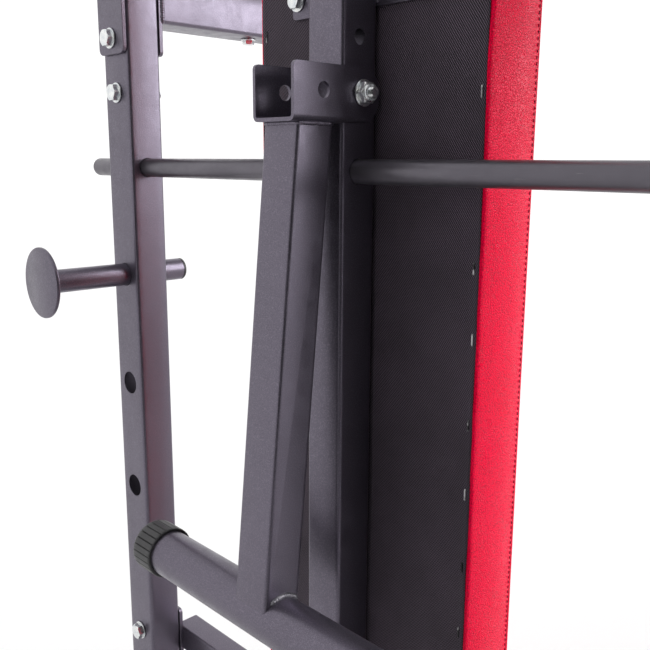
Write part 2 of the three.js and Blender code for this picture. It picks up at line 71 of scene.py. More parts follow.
ARM = {"z": 178.5, "size": 50, "wall": 2.5, "front": 24.5, "rear": 440, "plate": 119, "pitch": 86}
ARM_PAD = {"front": 62, "rear": 342, "width": 128, "bottom": 203.8, "thick": 52, "bolts": (163, 300)}
GRIP = {"y": 410, "post": 14, "radius": 17.5, "bottom": 203.8, "top": 331.5}
UPRIGHT_BOLT_Z = 79.7

BEAM = {"size": 40, "wall": 2, "corner": 3.5, "bottom": -564, "top": 300}
HINGE_PLATE = {"x": 20, "thick": 5, "radius": 16, "top": -528}

PAD = {"width": 261, "bottom": -530, "top": 331, "corner": 24}
STRAP = {"half": 83, "height": 31, "front": 20.3, "thick": 2.5, "bolt_x": 76, "heights": (146.5, -480)}
CLOTH = {"y": 23.25, "inset": 3.4, "thick": 0.6}

LEG_PIVOT_Z = 62
LOCK_HOLE = {"offset": 43.5, "radius": 6.3}
BRACKET = {"outer": 24, "wall": 3, "bend": 5, "front": -74.5, "round": 19.8, "bottom": 38, "web_rear": -20.6}
STRUT = {"width": 40, "depth": 38, "wall": 2, "corner": 3.5, "lean": math.radians(5.5), "top": 37.7}
LEG_FOOT = {"y": -87.3, "z": -371, "radius": 22, "half": 172}
FOOT_CAP = {"radius": 25, "start": 146, "end": 177, "flats": 24}

CAMERA = {
    "place": Vector((0.484957, -0.576595, 1.053931)),
    "yaw": math.radians(45.988),
    "pitch": math.radians(11.607),
    "roll": math.radians(0.267),
    "lens": 44.56,
}


# ---------------------------------------------------------------- solids: (points, faces) in millimetres

def along(axis, u, v, w):
    """A point at (u, v) across an axis and w along it."""
    if axis == "x":
        return (w, u, v)
    if axis == "y":
        return (u, w, v)
    return (u, v, w)


def rounded_rect(width, height, radius, steps=6):
    """Outline points of a rectangle with round corners, counter-clockwise."""
    outline = []
    corners = ((1, 1, 0), (-1, 1, 90), (-1, -1, 180), (1, -1, 270))
    for su, sv, first in corners:
        cu = su * (width / 2 - radius)
        cv = sv * (height / 2 - radius)
        for i in range(steps + 1):
            a = math.radians(first + 90 * i / steps)
            outline.append((cu + radius * math.cos(a), cv + radius * math.sin(a)))
    return outline


def circle(radius, sides):
    return [(radius * math.cos(math.tau * i / sides), radius * math.sin(math.tau * i / sides)) for i in range(sides)]


def loft(rings, loop=False):
    """Skins a row of equal rings of points. A loop joins the last ring to the first; otherwise both ends close."""
    count = len(rings[0])
    points = [p for ring in rings for p in ring]
    faces = []
    spans = len(rings) if loop else len(rings) - 1
    for i in range(spans):
        a = i * count
        b = (i + 1) % len(rings) * count
        for k in range(count):
            n = (k + 1) % count
            faces.append((a + k, a + n, b + n, b + k))
    if not loop:
        faces.append(tuple(range(count)))
        faces.append(tuple(range((len(rings) - 1) * count, len(rings) * count)))
    return points, faces


def merge(*solids):
    points, faces = [], []
    for more_points, more_faces in solids:
        start = len(points)
        points += more_points
        faces += [tuple(start + i for i in face) for face in more_faces]
    return points, faces


def moved(solid, offset):
    return [tuple(a + b for a, b in zip(p, offset)) for p in solid[0]], solid[1]


def prism(axis, outline, start, end, centre=(0, 0, 0)):
    rings = [[along(axis, u, v, w) for u, v in outline] for w in (start, end)]
    return moved(loft(rings), centre)


def box_tube(axis, width, height, wall, corner, start, end, centre=(0, 0, 0)):
    """An open rectangular tube with round corners."""
    outer = rounded_rect(width, height, corner)
    inner = rounded_rect(width - 2 * wall, height - 2 * wall, max(corner - wall, 0.8))
    walls = ((outer, start), (outer, end), (inner, end), (inner, start))
    rings = [[along(axis, u, v, w) for u, v in outline] for outline, w in walls]
    return moved(loft(rings, loop=True), centre)


def turned(axis, profile, centre=(0, 0, 0), sides=48, loop=False):
    """A body of revolution from (radius, height) pairs."""
    rings = [[along(axis, u, v, w) for u, v in circle(r, sides)] for r, w in profile]
    return moved(loft(rings, loop), centre)


def rod_profile(radius, start, end, nose=2.0):
    """A round bar's profile with rounded ends."""
    turn = [(radius - nose * (1 - math.sin(t)), nose * (1 - math.cos(t))) for t in
            (math.radians(15 * i) for i in range(7))]
    rise = [(r, start + w) for r, w in turn]
    fall = [(r, end - w) for r, w in reversed(turn)]
    return rise + fall


def hole(axis, radius, start, end, centre=(0, 0, 0), sides=48):
    return turned(axis, [(radius, start), (radius, end)], centre, sides)


def slab(low, high):
    (x0, y0, z0), (x1, y1, z1) = low, high
    rings = [[(x0, y0, z), (x1, y0, z), (x1, y1, z), (x0, y1, z)] for z in (z0, z1)]
    return loft(rings)


def turned_x(solid, angle, centre):
    """A solid rotated about the X axis through a point, then moved there."""
    c, s = math.cos(angle), math.sin(angle)
    points = [(x + centre[0], y * c - z * s + centre[1], y * s + z * c + centre[2]) for x, y, z in solid[0]]
    return points, solid[1]


def rough_mesh(name, solid):
    mesh = bpy.data.meshes.new(name)
    mesh.from_pydata(solid[0], [], solid[1])
    tidy = bmesh.new()
    tidy.from_mesh(mesh)
    bmesh.ops.recalc_face_normals(tidy, faces=tidy.faces)
    tidy.to_mesh(mesh)
    tidy.free()
    obj = bpy.data.objects.new(name, mesh)
    bpy.context.scene.collection.objects.link(obj)
    return obj


def combined(solid, tool, operation):
    """The solid after a boolean operation with a tool."""
    body = rough_mesh("work", solid)
    cutter = rough_mesh("tool", tool)
    modifier = body.modifiers.new("cut", "BOOLEAN")
    modifier.operation = operation
    modifier.solver = "EXACT"
    modifier.object = cutter
    bpy.context.view_layer.update()
    depsgraph = bpy.context.evaluated_depsgraph_get()
    result = bpy.data.meshes.new_from_object(body.evaluated_get(depsgraph))
    points = [tuple(v.co) for v in result.vertices]
    faces = [tuple(p.vertices) for p in result.polygons]
    bpy.data.meshes.remove(result)
    bpy.data.objects.remove(cutter)
    bpy.data.objects.remove(body)
    return points, faces


def drilled(solid, *tools):
    for tool in tools:
        solid = combined(solid, tool, "DIFFERENCE")
    return solid


# ---------------------------------------------------------------- pieces

def piece(name, solid, material, body, replaces=(), angle=32, bevel=0.0):
    """Makes a shown object from a solid, in metres, riding on a CAD body."""
    obj = rough_mesh(name, solid)
    for v in obj.data.vertices:
        v.co = v.co * 0.001 + RACK_ORIGIN
    obj.data.materials.append(material)
    obj.data.shade_smooth()
    obj.data.set_sharp_from_angle(angle=math.radians(angle))
    if bevel:
        modifier = obj.modifiers.new("edges", "BEVEL")
        modifier.width = bevel * 0.001
        modifier.segments = 2
        modifier.limit_method = "ANGLE"
        modifier.angle_limit = math.radians(angle)
        modifier.harden_normals = True
        modifier.use_clamp_overlap = True
    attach(obj, body)
    if replaces:
        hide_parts(*replaces)
    return obj


def bead(path, radius, closed=True, seed=0):
    """A weld bead along a path of points: a rippled, slightly uneven rope of metal."""
    rng = random.Random(seed)
    points = [Vector(p) for p in path]
    spans = list(zip(points, points[1:] + points[:1])) if closed else list(zip(points, points[1:]))
    steps = []
    for a, b in spans:
        count = max(1, round((b - a).length / 0.7))
        steps += [a.lerp(b, i / count) for i in range(count)]
    if not closed:
        steps.append(points[-1])
    offset = rng.random() * 50
    rings = []
    travelled = 0.0
    for i, p in enumerate(steps):
        before = steps[i - 1] if i or closed else p
        after = steps[(i + 1) % len(steps)] if closed or i + 1 < len(steps) else p
        tangent = (after - before).normalized()
        side = tangent.orthogonal().normalized()
        up = tangent.cross(side)
        travelled += (after - p).length
        ripple = 1 + 0.13 * math.sin(travelled * 2.6) + 0.16 * noise.noise(p * 0.35 + Vector((offset, 0, 0)))
        edge = min(i, len(steps) - 1 - i)
        taper = 1.0 if closed else min(1.0, 0.35 + edge * 0.2)
        reach = radius * ripple * taper
        rings.append([tuple(p + (side * math.cos(t) + up * math.sin(t)) * reach)
                      for t in (math.tau * k / 10 for k in range(10))])
    return twist_free(rings, closed)


def twist_free(rings, closed):
    """Turns each ring of a sweep so that it lines up with the ring before, then skins them."""
    count = len(rings[0])
    for i in range(1, len(rings)):
        first = Vector(rings[i - 1][0])
        nearest = min(range(count), key=lambda k: (Vector(rings[i][k]) - first).length)
        turned_ring = rings[i][nearest:] + rings[i][:nearest]
        ahead = (Vector(turned_ring[1]) - Vector(rings[i - 1][1])).length
        back = (Vector(turned_ring[-1]) - Vector(rings[i - 1][1])).length
        if back < ahead:
            turned_ring = turned_ring[:1] + turned_ring[:0:-1]
        rings[i] = turned_ring
    return loft(rings, loop=closed)


def welds(name, body, *beads):
    """Painted-over weld beads as one smooth piece."""
    return piece(name, merge(*beads), PAINT, body, angle=180)


def rect_path(axis, width, height, corner, w, centre):
    outline = rounded_rect(width, height, corner, 4)
    return [tuple(a + b for a, b in zip(along(axis, u, v, w), centre)) for u, v in outline]


# ---------------------------------------------------------------- materials

class Shader:
    """A material's node tree with short calls for making and joining nodes."""

    def __init__(self, name):
        self.material = bpy.data.materials.new(name)
        self.material.use_nodes = True
        self.tree = self.material.node_tree
        self.bsdf = self.tree.nodes["Principled BSDF"]
        self.place = self.add("ShaderNodeTexCoord").outputs["Object"]

    def add(self, kind, **settings):
        node = self.tree.nodes.new(kind)
        for key, value in settings.items():
            setattr(node, key, value)
        return node

    def link(self, source, target):
        self.tree.links.new(source, target)

    def stretched(self, scale):
        mapping = self.add("ShaderNodeMapping")
        mapping.inputs["Scale"].default_value = scale
        self.link(self.place, mapping.inputs["Vector"])
        return mapping.outputs["Vector"]

    def noise(self, scale, detail=3.0, rough=0.55, vector=None):
        node = self.add("ShaderNodeTexNoise")
        node.inputs["Scale"].default_value = scale
        node.inputs["Detail"].default_value = detail
        node.inputs["Roughness"].default_value = rough
        self.link(vector or self.place, node.inputs["Vector"])
        return node.outputs["Fac"]

    def cells(self, scale, feature="F1", output="Distance", vector=None, randomness=1.0):
        node = self.add("ShaderNodeTexVoronoi", feature=feature)
        node.inputs["Scale"].default_value = scale
        node.inputs["Randomness"].default_value = randomness
        self.link(vector or self.place, node.inputs["Vector"])
        return node.outputs[output]

    def ramp(self, source, stops):
        node = self.add("ShaderNodeValToRGB")
        points = node.color_ramp.elements
        while len(points) < len(stops):
            points.new(0.5)
        for point, (position, value) in zip(points, stops):
            point.position = position
            point.color = (*value, 1) if isinstance(value, tuple) else (value, value, value, 1)
        self.link(source, node.inputs["Fac"])
        return node.outputs["Color"]

    def spread(self, source, low, high, out_low=0.0, out_high=1.0):
        node = self.add("ShaderNodeMapRange")
        node.inputs["From Min"].default_value = low
        node.inputs["From Max"].default_value = high
        node.inputs["To Min"].default_value = out_low
        node.inputs["To Max"].default_value = out_high
        self.link(source, node.inputs["Value"])
        return node.outputs["Result"]

    def math(self, operation, a, b=None):
        node = self.add("ShaderNodeMath", operation=operation)
        for socket, value in zip(node.inputs, (a, b)):
            if value is None:
                continue
            if isinstance(value, (int, float)):
                socket.default_value = value
            else:
                self.link(value, socket)
        return node.outputs[0]

    def mix(self, factor, a, b):
        node = self.add("ShaderNodeMix", data_type="RGBA")
        self.link(factor, node.inputs["Factor"])
        for socket, value in zip((node.inputs[6], node.inputs[7]), (a, b)):
            if isinstance(value, tuple):
                socket.default_value = (*value, 1)
            else:
                self.link(value, socket)
        return node.outputs[2]

    def bump(self, height, distance, strength=1.0, under=None):
        node = self.add("ShaderNodeBump")
        node.inputs["Strength"].default_value = strength
        node.inputs["Distance"].default_value = distance
        self.link(height, node.inputs["Height"])
        if under is not None:
            self.link(under, node.inputs["Normal"])
        return node.outputs["Normal"]

    def finish(self, color=None, roughness=None, normal=None, **fixed):
        if color is not None:
            self.link(color, self.bsdf.inputs["Base Color"])
        if roughness is not None:
            self.link(roughness, self.bsdf.inputs["Roughness"])
        if normal is not None:
            self.link(normal, self.bsdf.inputs["Normal"])
        for key, value in fixed.items():
            socket = self.bsdf.inputs[key.replace("_", " ")]
            socket.default_value = (*value, 1) if isinstance(value, tuple) else value
        return self.material


def powder_coat(name, dark, light, roughness):
    """Semi-gloss charcoal powder coat: orange peel, fine metallic flecks and faint handling marks."""
    s = Shader(name)
    peel = s.noise(620, 2)
    fleck = s.noise(1250, 2, 0.6)
    patch = s.noise(9, 4)
    tone = s.mix(s.ramp(patch, ((0.3, 0.0), (0.75, 1.0))), dark, light)
    sparkle = s.ramp(fleck, ((0.50, 0.0), (0.66, 1.0)))
    color = s.mix(sparkle, tone, tuple(1.35 * c + 0.01 for c in light))
    handled = s.spread(s.noise(55, 5, 0.7), 0.35, 0.7, roughness - 0.05, roughness + 0.09)
    normal = s.bump(peel, 0.00016, 0.6)
    normal = s.bump(fleck, 0.00010, 0.7, normal)
    return s.finish(color, handled, normal, Metallic=0.8)


def rod_coat():
    """Smoother dark paint with rubbed rings and fine light scratches from sliding."""
    s = Shader("rod_paint")
    scratch = s.noise(60, 4, 0.75, s.stretched((1.0, 22, 22)))
    lines = s.ramp(scratch, ((0.64, 0.0), (0.74, 0.6)))
    rubbed = s.ramp(s.noise(24, 5, 0.7, s.stretched((0.35, 1, 1))), ((0.45, 0.0), (0.8, 1.0)))
    tone = s.mix(rubbed, (0.115, 0.106, 0.125), (0.170, 0.158, 0.182))
    color = s.mix(lines, tone, (0.26, 0.25, 0.27))
    rough = s.spread(s.noise(120, 4), 0.3, 0.7, 0.28, 0.42)
    return s.finish(color, rough, s.bump(scratch, 0.00012, 0.5), Metallic=0.75)


def zinc_plate():
    """Bright zinc with faint rolling marks, a cool cast and dull patches."""
    s = Shader("zinc")
    patch = s.noise(160, 4)
    color = s.ramp(patch, ((0.3, (0.60, 0.63, 0.66)), (0.7, (0.86, 0.86, 0.84))))
    rough = s.spread(s.noise(420, 4), 0.3, 0.7, 0.24, 0.38)
    normal = s.bump(s.noise(900, 3), 0.00001, 0.5)
    return s.finish(color, rough, normal, Metallic=1.0)


def moulded_plastic(name, tone, roughness, grain):
    """Black moulded plastic with a spark-eroded grain and lighter dusty patches."""
    s = Shader(name)
    dust = s.ramp(s.noise(40, 5, 0.65), ((0.45, 0.0), (0.8, 1.0)))
    color = s.mix(dust, tone, tuple(1.7 * c + 0.01 for c in tone))
    rough = s.spread(s.noise(90, 4), 0.3, 0.7, roughness - 0.07, roughness + 0.1)
    return s.finish(color, rough, s.bump(s.noise(grain, 3), 0.00010, 0.5))


def vinyl(name, deep, bright, roughness, scale, tint=(1, 1, 1)):
    """Embossed upholstery vinyl: leather-like cells with fine pores and slight tone variation; the creases between the
    cells are painted darker as painted shade.
    """
    s = Shader(name)
    warp = s.add("ShaderNodeVectorMath", operation="MULTIPLY_ADD")
    cloud = s.add("ShaderNodeTexNoise")
    cloud.inputs["Scale"].default_value = 260
    s.link(s.place, cloud.inputs["Vector"])
    s.link(cloud.outputs["Color"], warp.inputs[0])
    warp.inputs[1].default_value = (0.0012, 0.0012, 0.0012)
    s.link(s.place, warp.inputs[2])
    crease = s.cells(scale, "DISTANCE_TO_EDGE", vector=warp.outputs[0])
    valley_shade = s.ramp(crease, ((0.0, 0.0), (0.16, 1.0)))
    tone = s.mix(s.ramp(s.noise(14, 4), ((0.3, 0.0), (0.7, 1.0))), deep, bright)
    # painted shade: the colour is darkened to 0.55 of the deep tone in the creases between the grain's cells
    color = s.mix(valley_shade, tuple(0.55 * c for c in deep), tone)
    rough = s.spread(s.noise(70, 4), 0.3, 0.7, roughness - 0.05, roughness + 0.08)
    normal = s.bump(valley_shade, 0.00034, 0.8)
    normal = s.bump(s.noise(2400, 2), 0.00004, 0.5, normal)
    return s.finish(color, rough, normal, Specular_IOR_Level=0.2, Specular_Tint=tint)


def twill():
    """Black twill: diagonal ribs about a millimetre apart, crossed by the weft, with painted shade in the hollows
    between the threads.
    """
    s = Shader("backing_cloth")
    axes = s.add("ShaderNodeSeparateXYZ")
    s.link(s.place, axes.inputs[0])
    x, z = axes.outputs["X"], axes.outputs["Z"]
    wander = s.math("MULTIPLY", s.noise(60, 2), 0.0008)
    slope = s.math("ADD", s.math("ADD", s.math("MULTIPLY", x, 1.0), s.math("MULTIPLY", z, 0.72)), wander)
    rib = s.math("SINE", s.math("MULTIPLY", slope, math.tau / 0.0021))
    weft = s.math("SINE", s.math("MULTIPLY", s.math("SUBTRACT", z, s.math("MULTIPLY", x, 0.9)), math.tau / 0.0017))
    weave = s.math("ADD", s.math("MULTIPLY", rib, 0.5), s.math("MULTIPLY", weft, 0.28))
    height = s.spread(weave, -0.78, 0.78)
    shade = s.mix(s.ramp(s.noise(11, 4), ((0.3, 0.0), (0.7, 1.0))), (0.125, 0.092, 0.128), (0.210, 0.155, 0.215))
    # painted shade: the hollows of the weave are coloured near black, and the raised threads keep the lighter thread
    # tone
    raised = s.ramp(height, ((0.46, 0.0), (0.92, 1.0)))
    color = s.mix(raised, (0.003, 0.0025, 0.003), shade)
    fuzz = s.noise(3000, 2)
    normal = s.bump(height, 0.00040, 0.8)
    normal = s.bump(fuzz, 0.00008, 0.5, normal)
    rough = s.spread(fuzz, 0.3, 0.7, 0.72, 0.95)
    return s.finish(color, rough, normal, Sheen_Weight=0.06, Sheen_Roughness=0.5, Specular_IOR_Level=0.3)


def foam_rubber():
    s = Shader("grip_foam")
    pores = s.cells(900)
    # painted shade: the colour darkens towards each pore's middle, where the pore sinks in
    color = s.ramp(pores, ((0.0, (0.006, 0.006, 0.007)), (0.5, (0.022, 0.021, 0.023))))
    rough = s.spread(s.noise(60, 4), 0.3, 0.7, 0.75, 0.92)
    return s.finish(color, rough, s.bump(pores, 0.0003, 0.7))


def plywood():
    s = Shader("board")
    grain = s.noise(18, 6, 0.6, s.stretched((1, 1, 0.08)))
    color = s.ramp(grain, ((0.3, (0.30, 0.17, 0.08)), (0.7, (0.52, 0.34, 0.18))))
    rough = s.spread(grain, 0.3, 0.7, 0.6, 0.8)
    return s.finish(color, rough, s.bump(grain, 0.0002, 0.5))


def sewing_thread(name, tone):
    s = Shader(name)
    twist = s.noise(1800, 2)
    color = s.mix(twist, tuple(0.5 * c for c in tone), tone)
    rough = s.spread(twist, 0.3, 0.7, 0.5, 0.75)
    return s.finish(color, rough, s.bump(twist, 0.0001, 0.6))


def staple_wire():
    s = Shader("staple_wire")
    patch = s.noise(70, 3)
    color = s.ramp(patch, ((0.50, (0.03, 0.028, 0.03)), (0.62, (0.50, 0.49, 0.50))))
    rough = s.spread(patch, 0.3, 0.7, 0.3, 0.5)
    return s.finish(color, rough, s.bump(s.noise(1500, 2), 0.00004, 0.5), Metallic=0.9)


def bare_weld():
    s = Shader("bare_weld")
    soot = s.noise(260, 4)
    color = s.ramp(soot, ((0.35, (0.10, 0.095, 0.11)), (0.65, (0.32, 0.31, 0.34))))
    rough = s.spread(soot, 0.3, 0.7, 0.3, 0.55)
    return s.finish(color, rough, s.bump(soot, 0.0002, 0.6), Metallic=0.7)


def nylon():
    s = Shader("nylon_ring")
    cloud = s.noise(300, 3)
    color = s.ramp(cloud, ((0.3, (0.62, 0.66, 0.70)), (0.7, (0.78, 0.80, 0.82))))
    rough = s.spread(cloud, 0.3, 0.7, 0.35, 0.5)
    return s.finish(color, rough, s.bump(cloud, 0.00004, 0.5))


PAINT = powder_coat("frame_paint", (0.112, 0.099, 0.128), (0.134, 0.119, 0.153), 0.33)
ROD_PAINT = rod_coat()
ZINC = zinc_plate()
PLASTIC = moulded_plastic("black_plastic", (0.022, 0.021, 0.023), 0.42, 1100)
RED_VINYL = vinyl("red_vinyl", (0.92, 0.0, 0.040), (0.98, 0.0, 0.052), 0.31, 560, (1.0, 0.10, 0.30))
BLACK_VINYL = vinyl("arm_pad_vinyl", (0.018, 0.017, 0.019), (0.028, 0.027, 0.030), 0.42, 760)
TWILL = twill()
FOAM = foam_rubber()
BOARD = plywood()
RED_THREAD = sewing_thread("red_thread", (0.30, 0.003, 0.04))
BLACK_THREAD = sewing_thread("black_thread", (0.05, 0.05, 0.055))
STAPLE = staple_wire()
WELD = bare_weld()
NYLON = nylon()


# ---------------------------------------------------------------- hardware

def facing(direction):
    """Turns points drawn along +Z so that +Z points in a direction."""
    return Vector(direction).to_track_quat("Z", "Y").to_matrix()


def oriented(solid, turn, origin):
    return [tuple(turn @ Vector(p) + Vector(origin)) for p in solid[0]], solid[1]


def hexagon(flats, levels, sides=72):
    """A hexagonal body whose corners are trimmed to a limiting radius at each (height, limit)."""
    apothem = flats / 2
    rings = []
    for w, limit in levels:
        ring = []
        for i in range(sides):
            t = math.tau * i / sides
            reach = apothem / math.cos((t % (math.pi / 3)) - math.pi / 6)
            r = min(reach, limit)
            ring.append((r * math.cos(t), r * math.sin(t), w))
        rings.append(ring)
    return loft(rings)


def chamfered(flats, low, high, both=False):
    corner = flats / math.sqrt(3)
    apothem = flats / 2
    trim = [(0.0, 0.94 * apothem), (0.15, 1.01 * apothem), (0.55, 1.07 * apothem), (1.1, corner + 0.01)]
    levels = [(low, corner + 0.01)]
    if both:
        levels = [(low + d, limit) for d, limit in trim]
    levels += [(high - d, limit) for d, limit in reversed(trim)]
    return hexagon(flats, levels)


def washer(radius, bore, low, thick):
    edge = 0.35
    profile = [(bore, low), (radius - edge, low), (radius, low + edge), (radius, low + thick - edge),
               (radius - edge, low + thick), (bore, low + thick)]
    return turned("z", profile, loop=True)


def thread(radius, pitch, start, end, sides=32):
    """A screw thread with a real helix, chamfered at its tip, which is at the start."""
    depth = 0.55 * pitch
    steps = max(4, round((end - start) / (pitch / 6)))
    rings = []
    for i in range(steps + 1):
        w = start + (end - start) * i / steps
        limit = min(radius, radius - 1.1 + (w - start) * 1.2)
        ring = []
        for k in range(sides):
            phase = (w / pitch - k / sides) % 1.0
            r = min(limit, radius - depth * abs(2 * phase - 1))
            t = math.tau * k / sides
            ring.append((r * math.cos(t), r * math.sin(t), w))
        rings.append(ring)
    return loft(rings)


def bolt(name, size, grip, origin, direction, body, nut=True, nut_washer=False):
    """A hexagon bolt with its washer, thread and nylon-insert nut; the washer sits on the origin."""
    turn = facing(direction)
    gap = 0.3
    top = gap + size["washer_thick"]
    metal = [washer(size["washer"], size["shank"] + 0.3, gap, size["washer_thick"]),
             chamfered(size["flats"], top, top + size["head"] - gap)]
    tip = -grip
    if nut:
        seat = -grip - gap
        if nut_washer:
            metal.append(washer(size["washer"], size["shank"] + 0.3, seat - size["washer_thick"],
                                size["washer_thick"]))
            seat -= size["washer_thick"]
        collar = size["nut"] * 0.3
        hex_low = seat - size["nut"] + collar
        metal.append(chamfered(size["flats"], hex_low, seat, both=True))
        r = size["flats"] / 2 - 0.7
        metal.append(turned("z", [(size["shank"] + 1.1, hex_low - collar + 0.5),
                                  (r - 1.2, hex_low - collar + 0.1), (r - 0.4, hex_low - collar + 0.5),
                                  (r, hex_low - collar + 1.2), (r, hex_low + 0.6)]))
        ring = turned("z", [(size["shank"] + 1.6, hex_low - collar + 0.2), (size["shank"] + 1.6, hex_low),
                            (size["shank"] - 0.2, hex_low), (size["shank"] - 0.2, hex_low - collar + 0.3)], loop=True)
        piece(name + "_nylon", oriented(ring, turn, origin), NYLON, body)
        tip = -grip - gap - size["nut"] - 5
    metal.append(thread(size["shank"], size["pitch"], tip, top))
    return piece(name + "_steel", oriented(merge(*metal), turn, origin), ZINC, body, (name,), angle=30)


def square_plug(name, width, height, inside, flange, depth, axis, end, centre, body):
    """A push-in end plug: a flange with a soft edge and a slightly domed face over a ribbed shank."""
    levels = [(0.3, 0.0, 4.0), (flange - 1.4, 0.0, 4.0), (flange - 0.5, 0.5, 4.2), (flange, 1.5, 4.5),
              (flange + 0.25, 6.0, 5.0)]
    rings = []
    for w, inset, corner in levels:
        outline = rounded_rect(width - 2 * inset, height - 2 * inset, corner)
        rings.append([along(axis, u, v, end + w) for u, v in outline])
    shank = [(0.5, inside + 0.3)]
    for i in range(4):
        shank += [(-2 - 3 * i, inside + 0.3), (-2.6 - 3 * i, inside + 1.1), (-4.4 - 3 * i, inside + 1.1)]
    shank = [(max(w, -depth), inset) for w, inset in shank]
    legs = [[along(axis, u, v, end + w) for u, v in rounded_rect(width - 2 * inset, height - 2 * inset, 3)]
            for w, inset in shank]
    solid = moved(merge(loft(rings), loft(legs)), centre)
    return piece(name + "_moulding", solid, PLASTIC, body, (name,), angle=25)


# ---------------------------------------------------------------- rack

def upright(side, x):
    u = UPRIGHT
    tube = box_tube("z", u["width"], u["depth"], u["wall"], u["corner"], u["bottom"], u["top"], (x, 0, 0))
    rod_hole = hole("x", ROD["hole"], -40, 40, (x, 0, 0))
    peg_holes = [hole("y", PEG["hole"], -40, 40, (x, 0, z)) for z in PEG["heights"]]
    tube = drilled(tube, rod_hole, *peg_holes)
    piece(f"upright_{side}_tube", tube, PAINT, "rack", (f"upright_{side}",), bevel=0.5)
    foot = rect_path("z", u["width"], u["depth"], u["corner"], u["bottom"] - 0.2, (x, 0, 0))
    welds(f"upright_{side}_weld", "rack", bead(foot, 2.4, seed=x))
    square_plug(f"upright_cap_{side}", u["width"], u["depth"], u["wall"], 4, 14, "z", u["top"], (x, 0, 0), "rack")


def floor_tube(side, x):
    f = FOOT
    tube = box_tube("y", f["size"], f["size"], f["wall"], f["corner"], f["front"], f["rear"], (x, 0, f["z"]))
    g = GUSSET
    y, z = g["y"], g["z"]
    outline = [(y, z), (y + g["length"], z), (y + g["length"] - 14, z + g["toe"]),
               (y + g["toe"], z + g["height"]), (y, z + g["height"])]
    web = prism("x", outline, -g["thick"] / 2, g["thick"] / 2, (x, 0, 0))
    seams = []
    for edge in (-1, 1):
        across = x + edge * g["thick"] / 2
        seams.append(bead([(across, y + 4, z + 1), (across, y + g["length"] - 6, z + 1)], 1.8, False, x + edge))
        seams.append(bead([(across, y, z + 6), (across, y, z + g["height"] - 4)], 1.8, False, x + 3 * edge))
    piece(f"base_foot_{side}_tube", merge(tube, web), PAINT, "rack", (f"base_foot_{side}",), bevel=0.4)
    welds(f"base_foot_{side}_welds", "rack", *seams)
    for end, face, inward in (("front", SLEEVE["front"], 1), ("rear", SLEEVE["rear"], -1)):
        foot_sleeve(f"base_foot_cap_{end}_{side}", x, face, inward)


def foot_sleeve(name, x, face, inward):
    """A moulded sleeve over a floor tube's end: soft outer edges, three shallow ribs and a raised mouth."""
    size, corner, length = SLEEVE["size"], SLEEVE["corner"], SLEEVE["length"]
    levels = [(0, 5, 0), (0.6, 2.6, 0), (2, 1.0, 0), (4.5, 0.2, 0)]
    for i in range(3):
        start = 10 + 8 * i
        levels += [(start, 0.2, 0), (start + 0.8, 1.1, 0), (start + 3, 1.1, 0), (start + 3.8, 0.2, 0)]
    levels += [(length - 6, 0.2, 0), (length - 5, 0, 0), (length - 0.6, 0, 0), (length, 0.6, 0)]
    rings = []
    for w, inset, _ in levels:
        outline = rounded_rect(size - 2 * inset, size - 2 * inset, corner, 5)
        rings.append([along("y", u, v, face + inward * w) for u, v in outline])
    inner = size - 5.4
    for w in (length, 6):
        rings.append([along("y", u, v, face + inward * w) for u, v in rounded_rect(inner, inner, 4, 5)])
    piece(name + "_moulding", moved(loft(rings), (x, 0, FLOOR + size / 2)), PLASTIC, "rack",
          (name,), angle=28)


def cross_tube():
    f, half = FOOT, CROSS_TUBE["half"]
    centre = (0, CROSS_TUBE["y"], f["z"])
    tube = box_tube("x", f["size"], f["size"], f["wall"], f["corner"], -half, half, centre)
    seams = [bead(rect_path("x", f["size"] - 2, f["size"] - 2, 4, s * half, centre), 2.2, seed=s) for s in (-1, 1)]
    piece("base_cross_tube_steel", tube, PAINT, "rack", ("base_cross_tube",), bevel=0.4)
    welds("base_cross_tube_welds", "rack", *seams)


def lower_crossbar():
    c = CROSSBAR
    centre = (0, c["y"], c["z"])
    tube = box_tube("x", c["depth"], c["height"], c["wall"], 3, -c["half"], c["half"], centre)
    parts = [tube]
    seams = []
    for _, sign in SIDES:
        outline = rounded_rect(UPRIGHT["width"], c["plate"], 5)
        x = sign * UPRIGHT_X
        parts.append(prism("y", outline, 20.3, 24.8, (x, 0, c["z"])))
        for z in (-1, 1):
            height = c["z"] + z * c["height"] / 2
            seam = [(x - sign * 24, 25, height), (x - sign * 14, 25, height)]
            seams.append(bead(seam, 2.0, False, x + z))
        inner = sign * LUG["x"]
        outer = sign * (LUG["x"] + LUG["thick"])
        lug = [(LUG["root"], c["z"] - LUG["radius"]), (LUG["root"], c["z"] + LUG["radius"])]
        lug += [(-LUG["radius"] * math.sin(t), c["z"] + LUG["radius"] * math.cos(t)) for t in
                (math.pi * i / 20 for i in range(21))]
        parts.append(prism("x", lug, min(inner, outer), max(inner, outer)))
        for z in (-1, 1):
            edge = c["z"] + z * (LUG["radius"] - 0.5)
            seams.append(bead([(outer, 24.2, edge), (outer, 24.2, c["z"])], 1.8, False, 7 * sign + z))
    piece("crossbar_lower_steel", merge(*parts), PAINT, "rack", ("crossbar_lower",), bevel=0.5)
    welds("crossbar_lower_welds", "rack", *seams)
    for side, sign in SIDES:
        for level, half in (("upper", 0.5), ("lower", -0.5)):
            seat = (sign * UPRIGHT_X, -20, c["z"] + half * c["pitch"])
            bolt(f"crossbar_bolt_{level}_{side}", M10, 44.8, seat, (0, -1, 0), "rack")
    bolt("bench_hinge_bolt", M10, 50, (-25, 0, c["z"]), (-1, 0, 0), "rack")


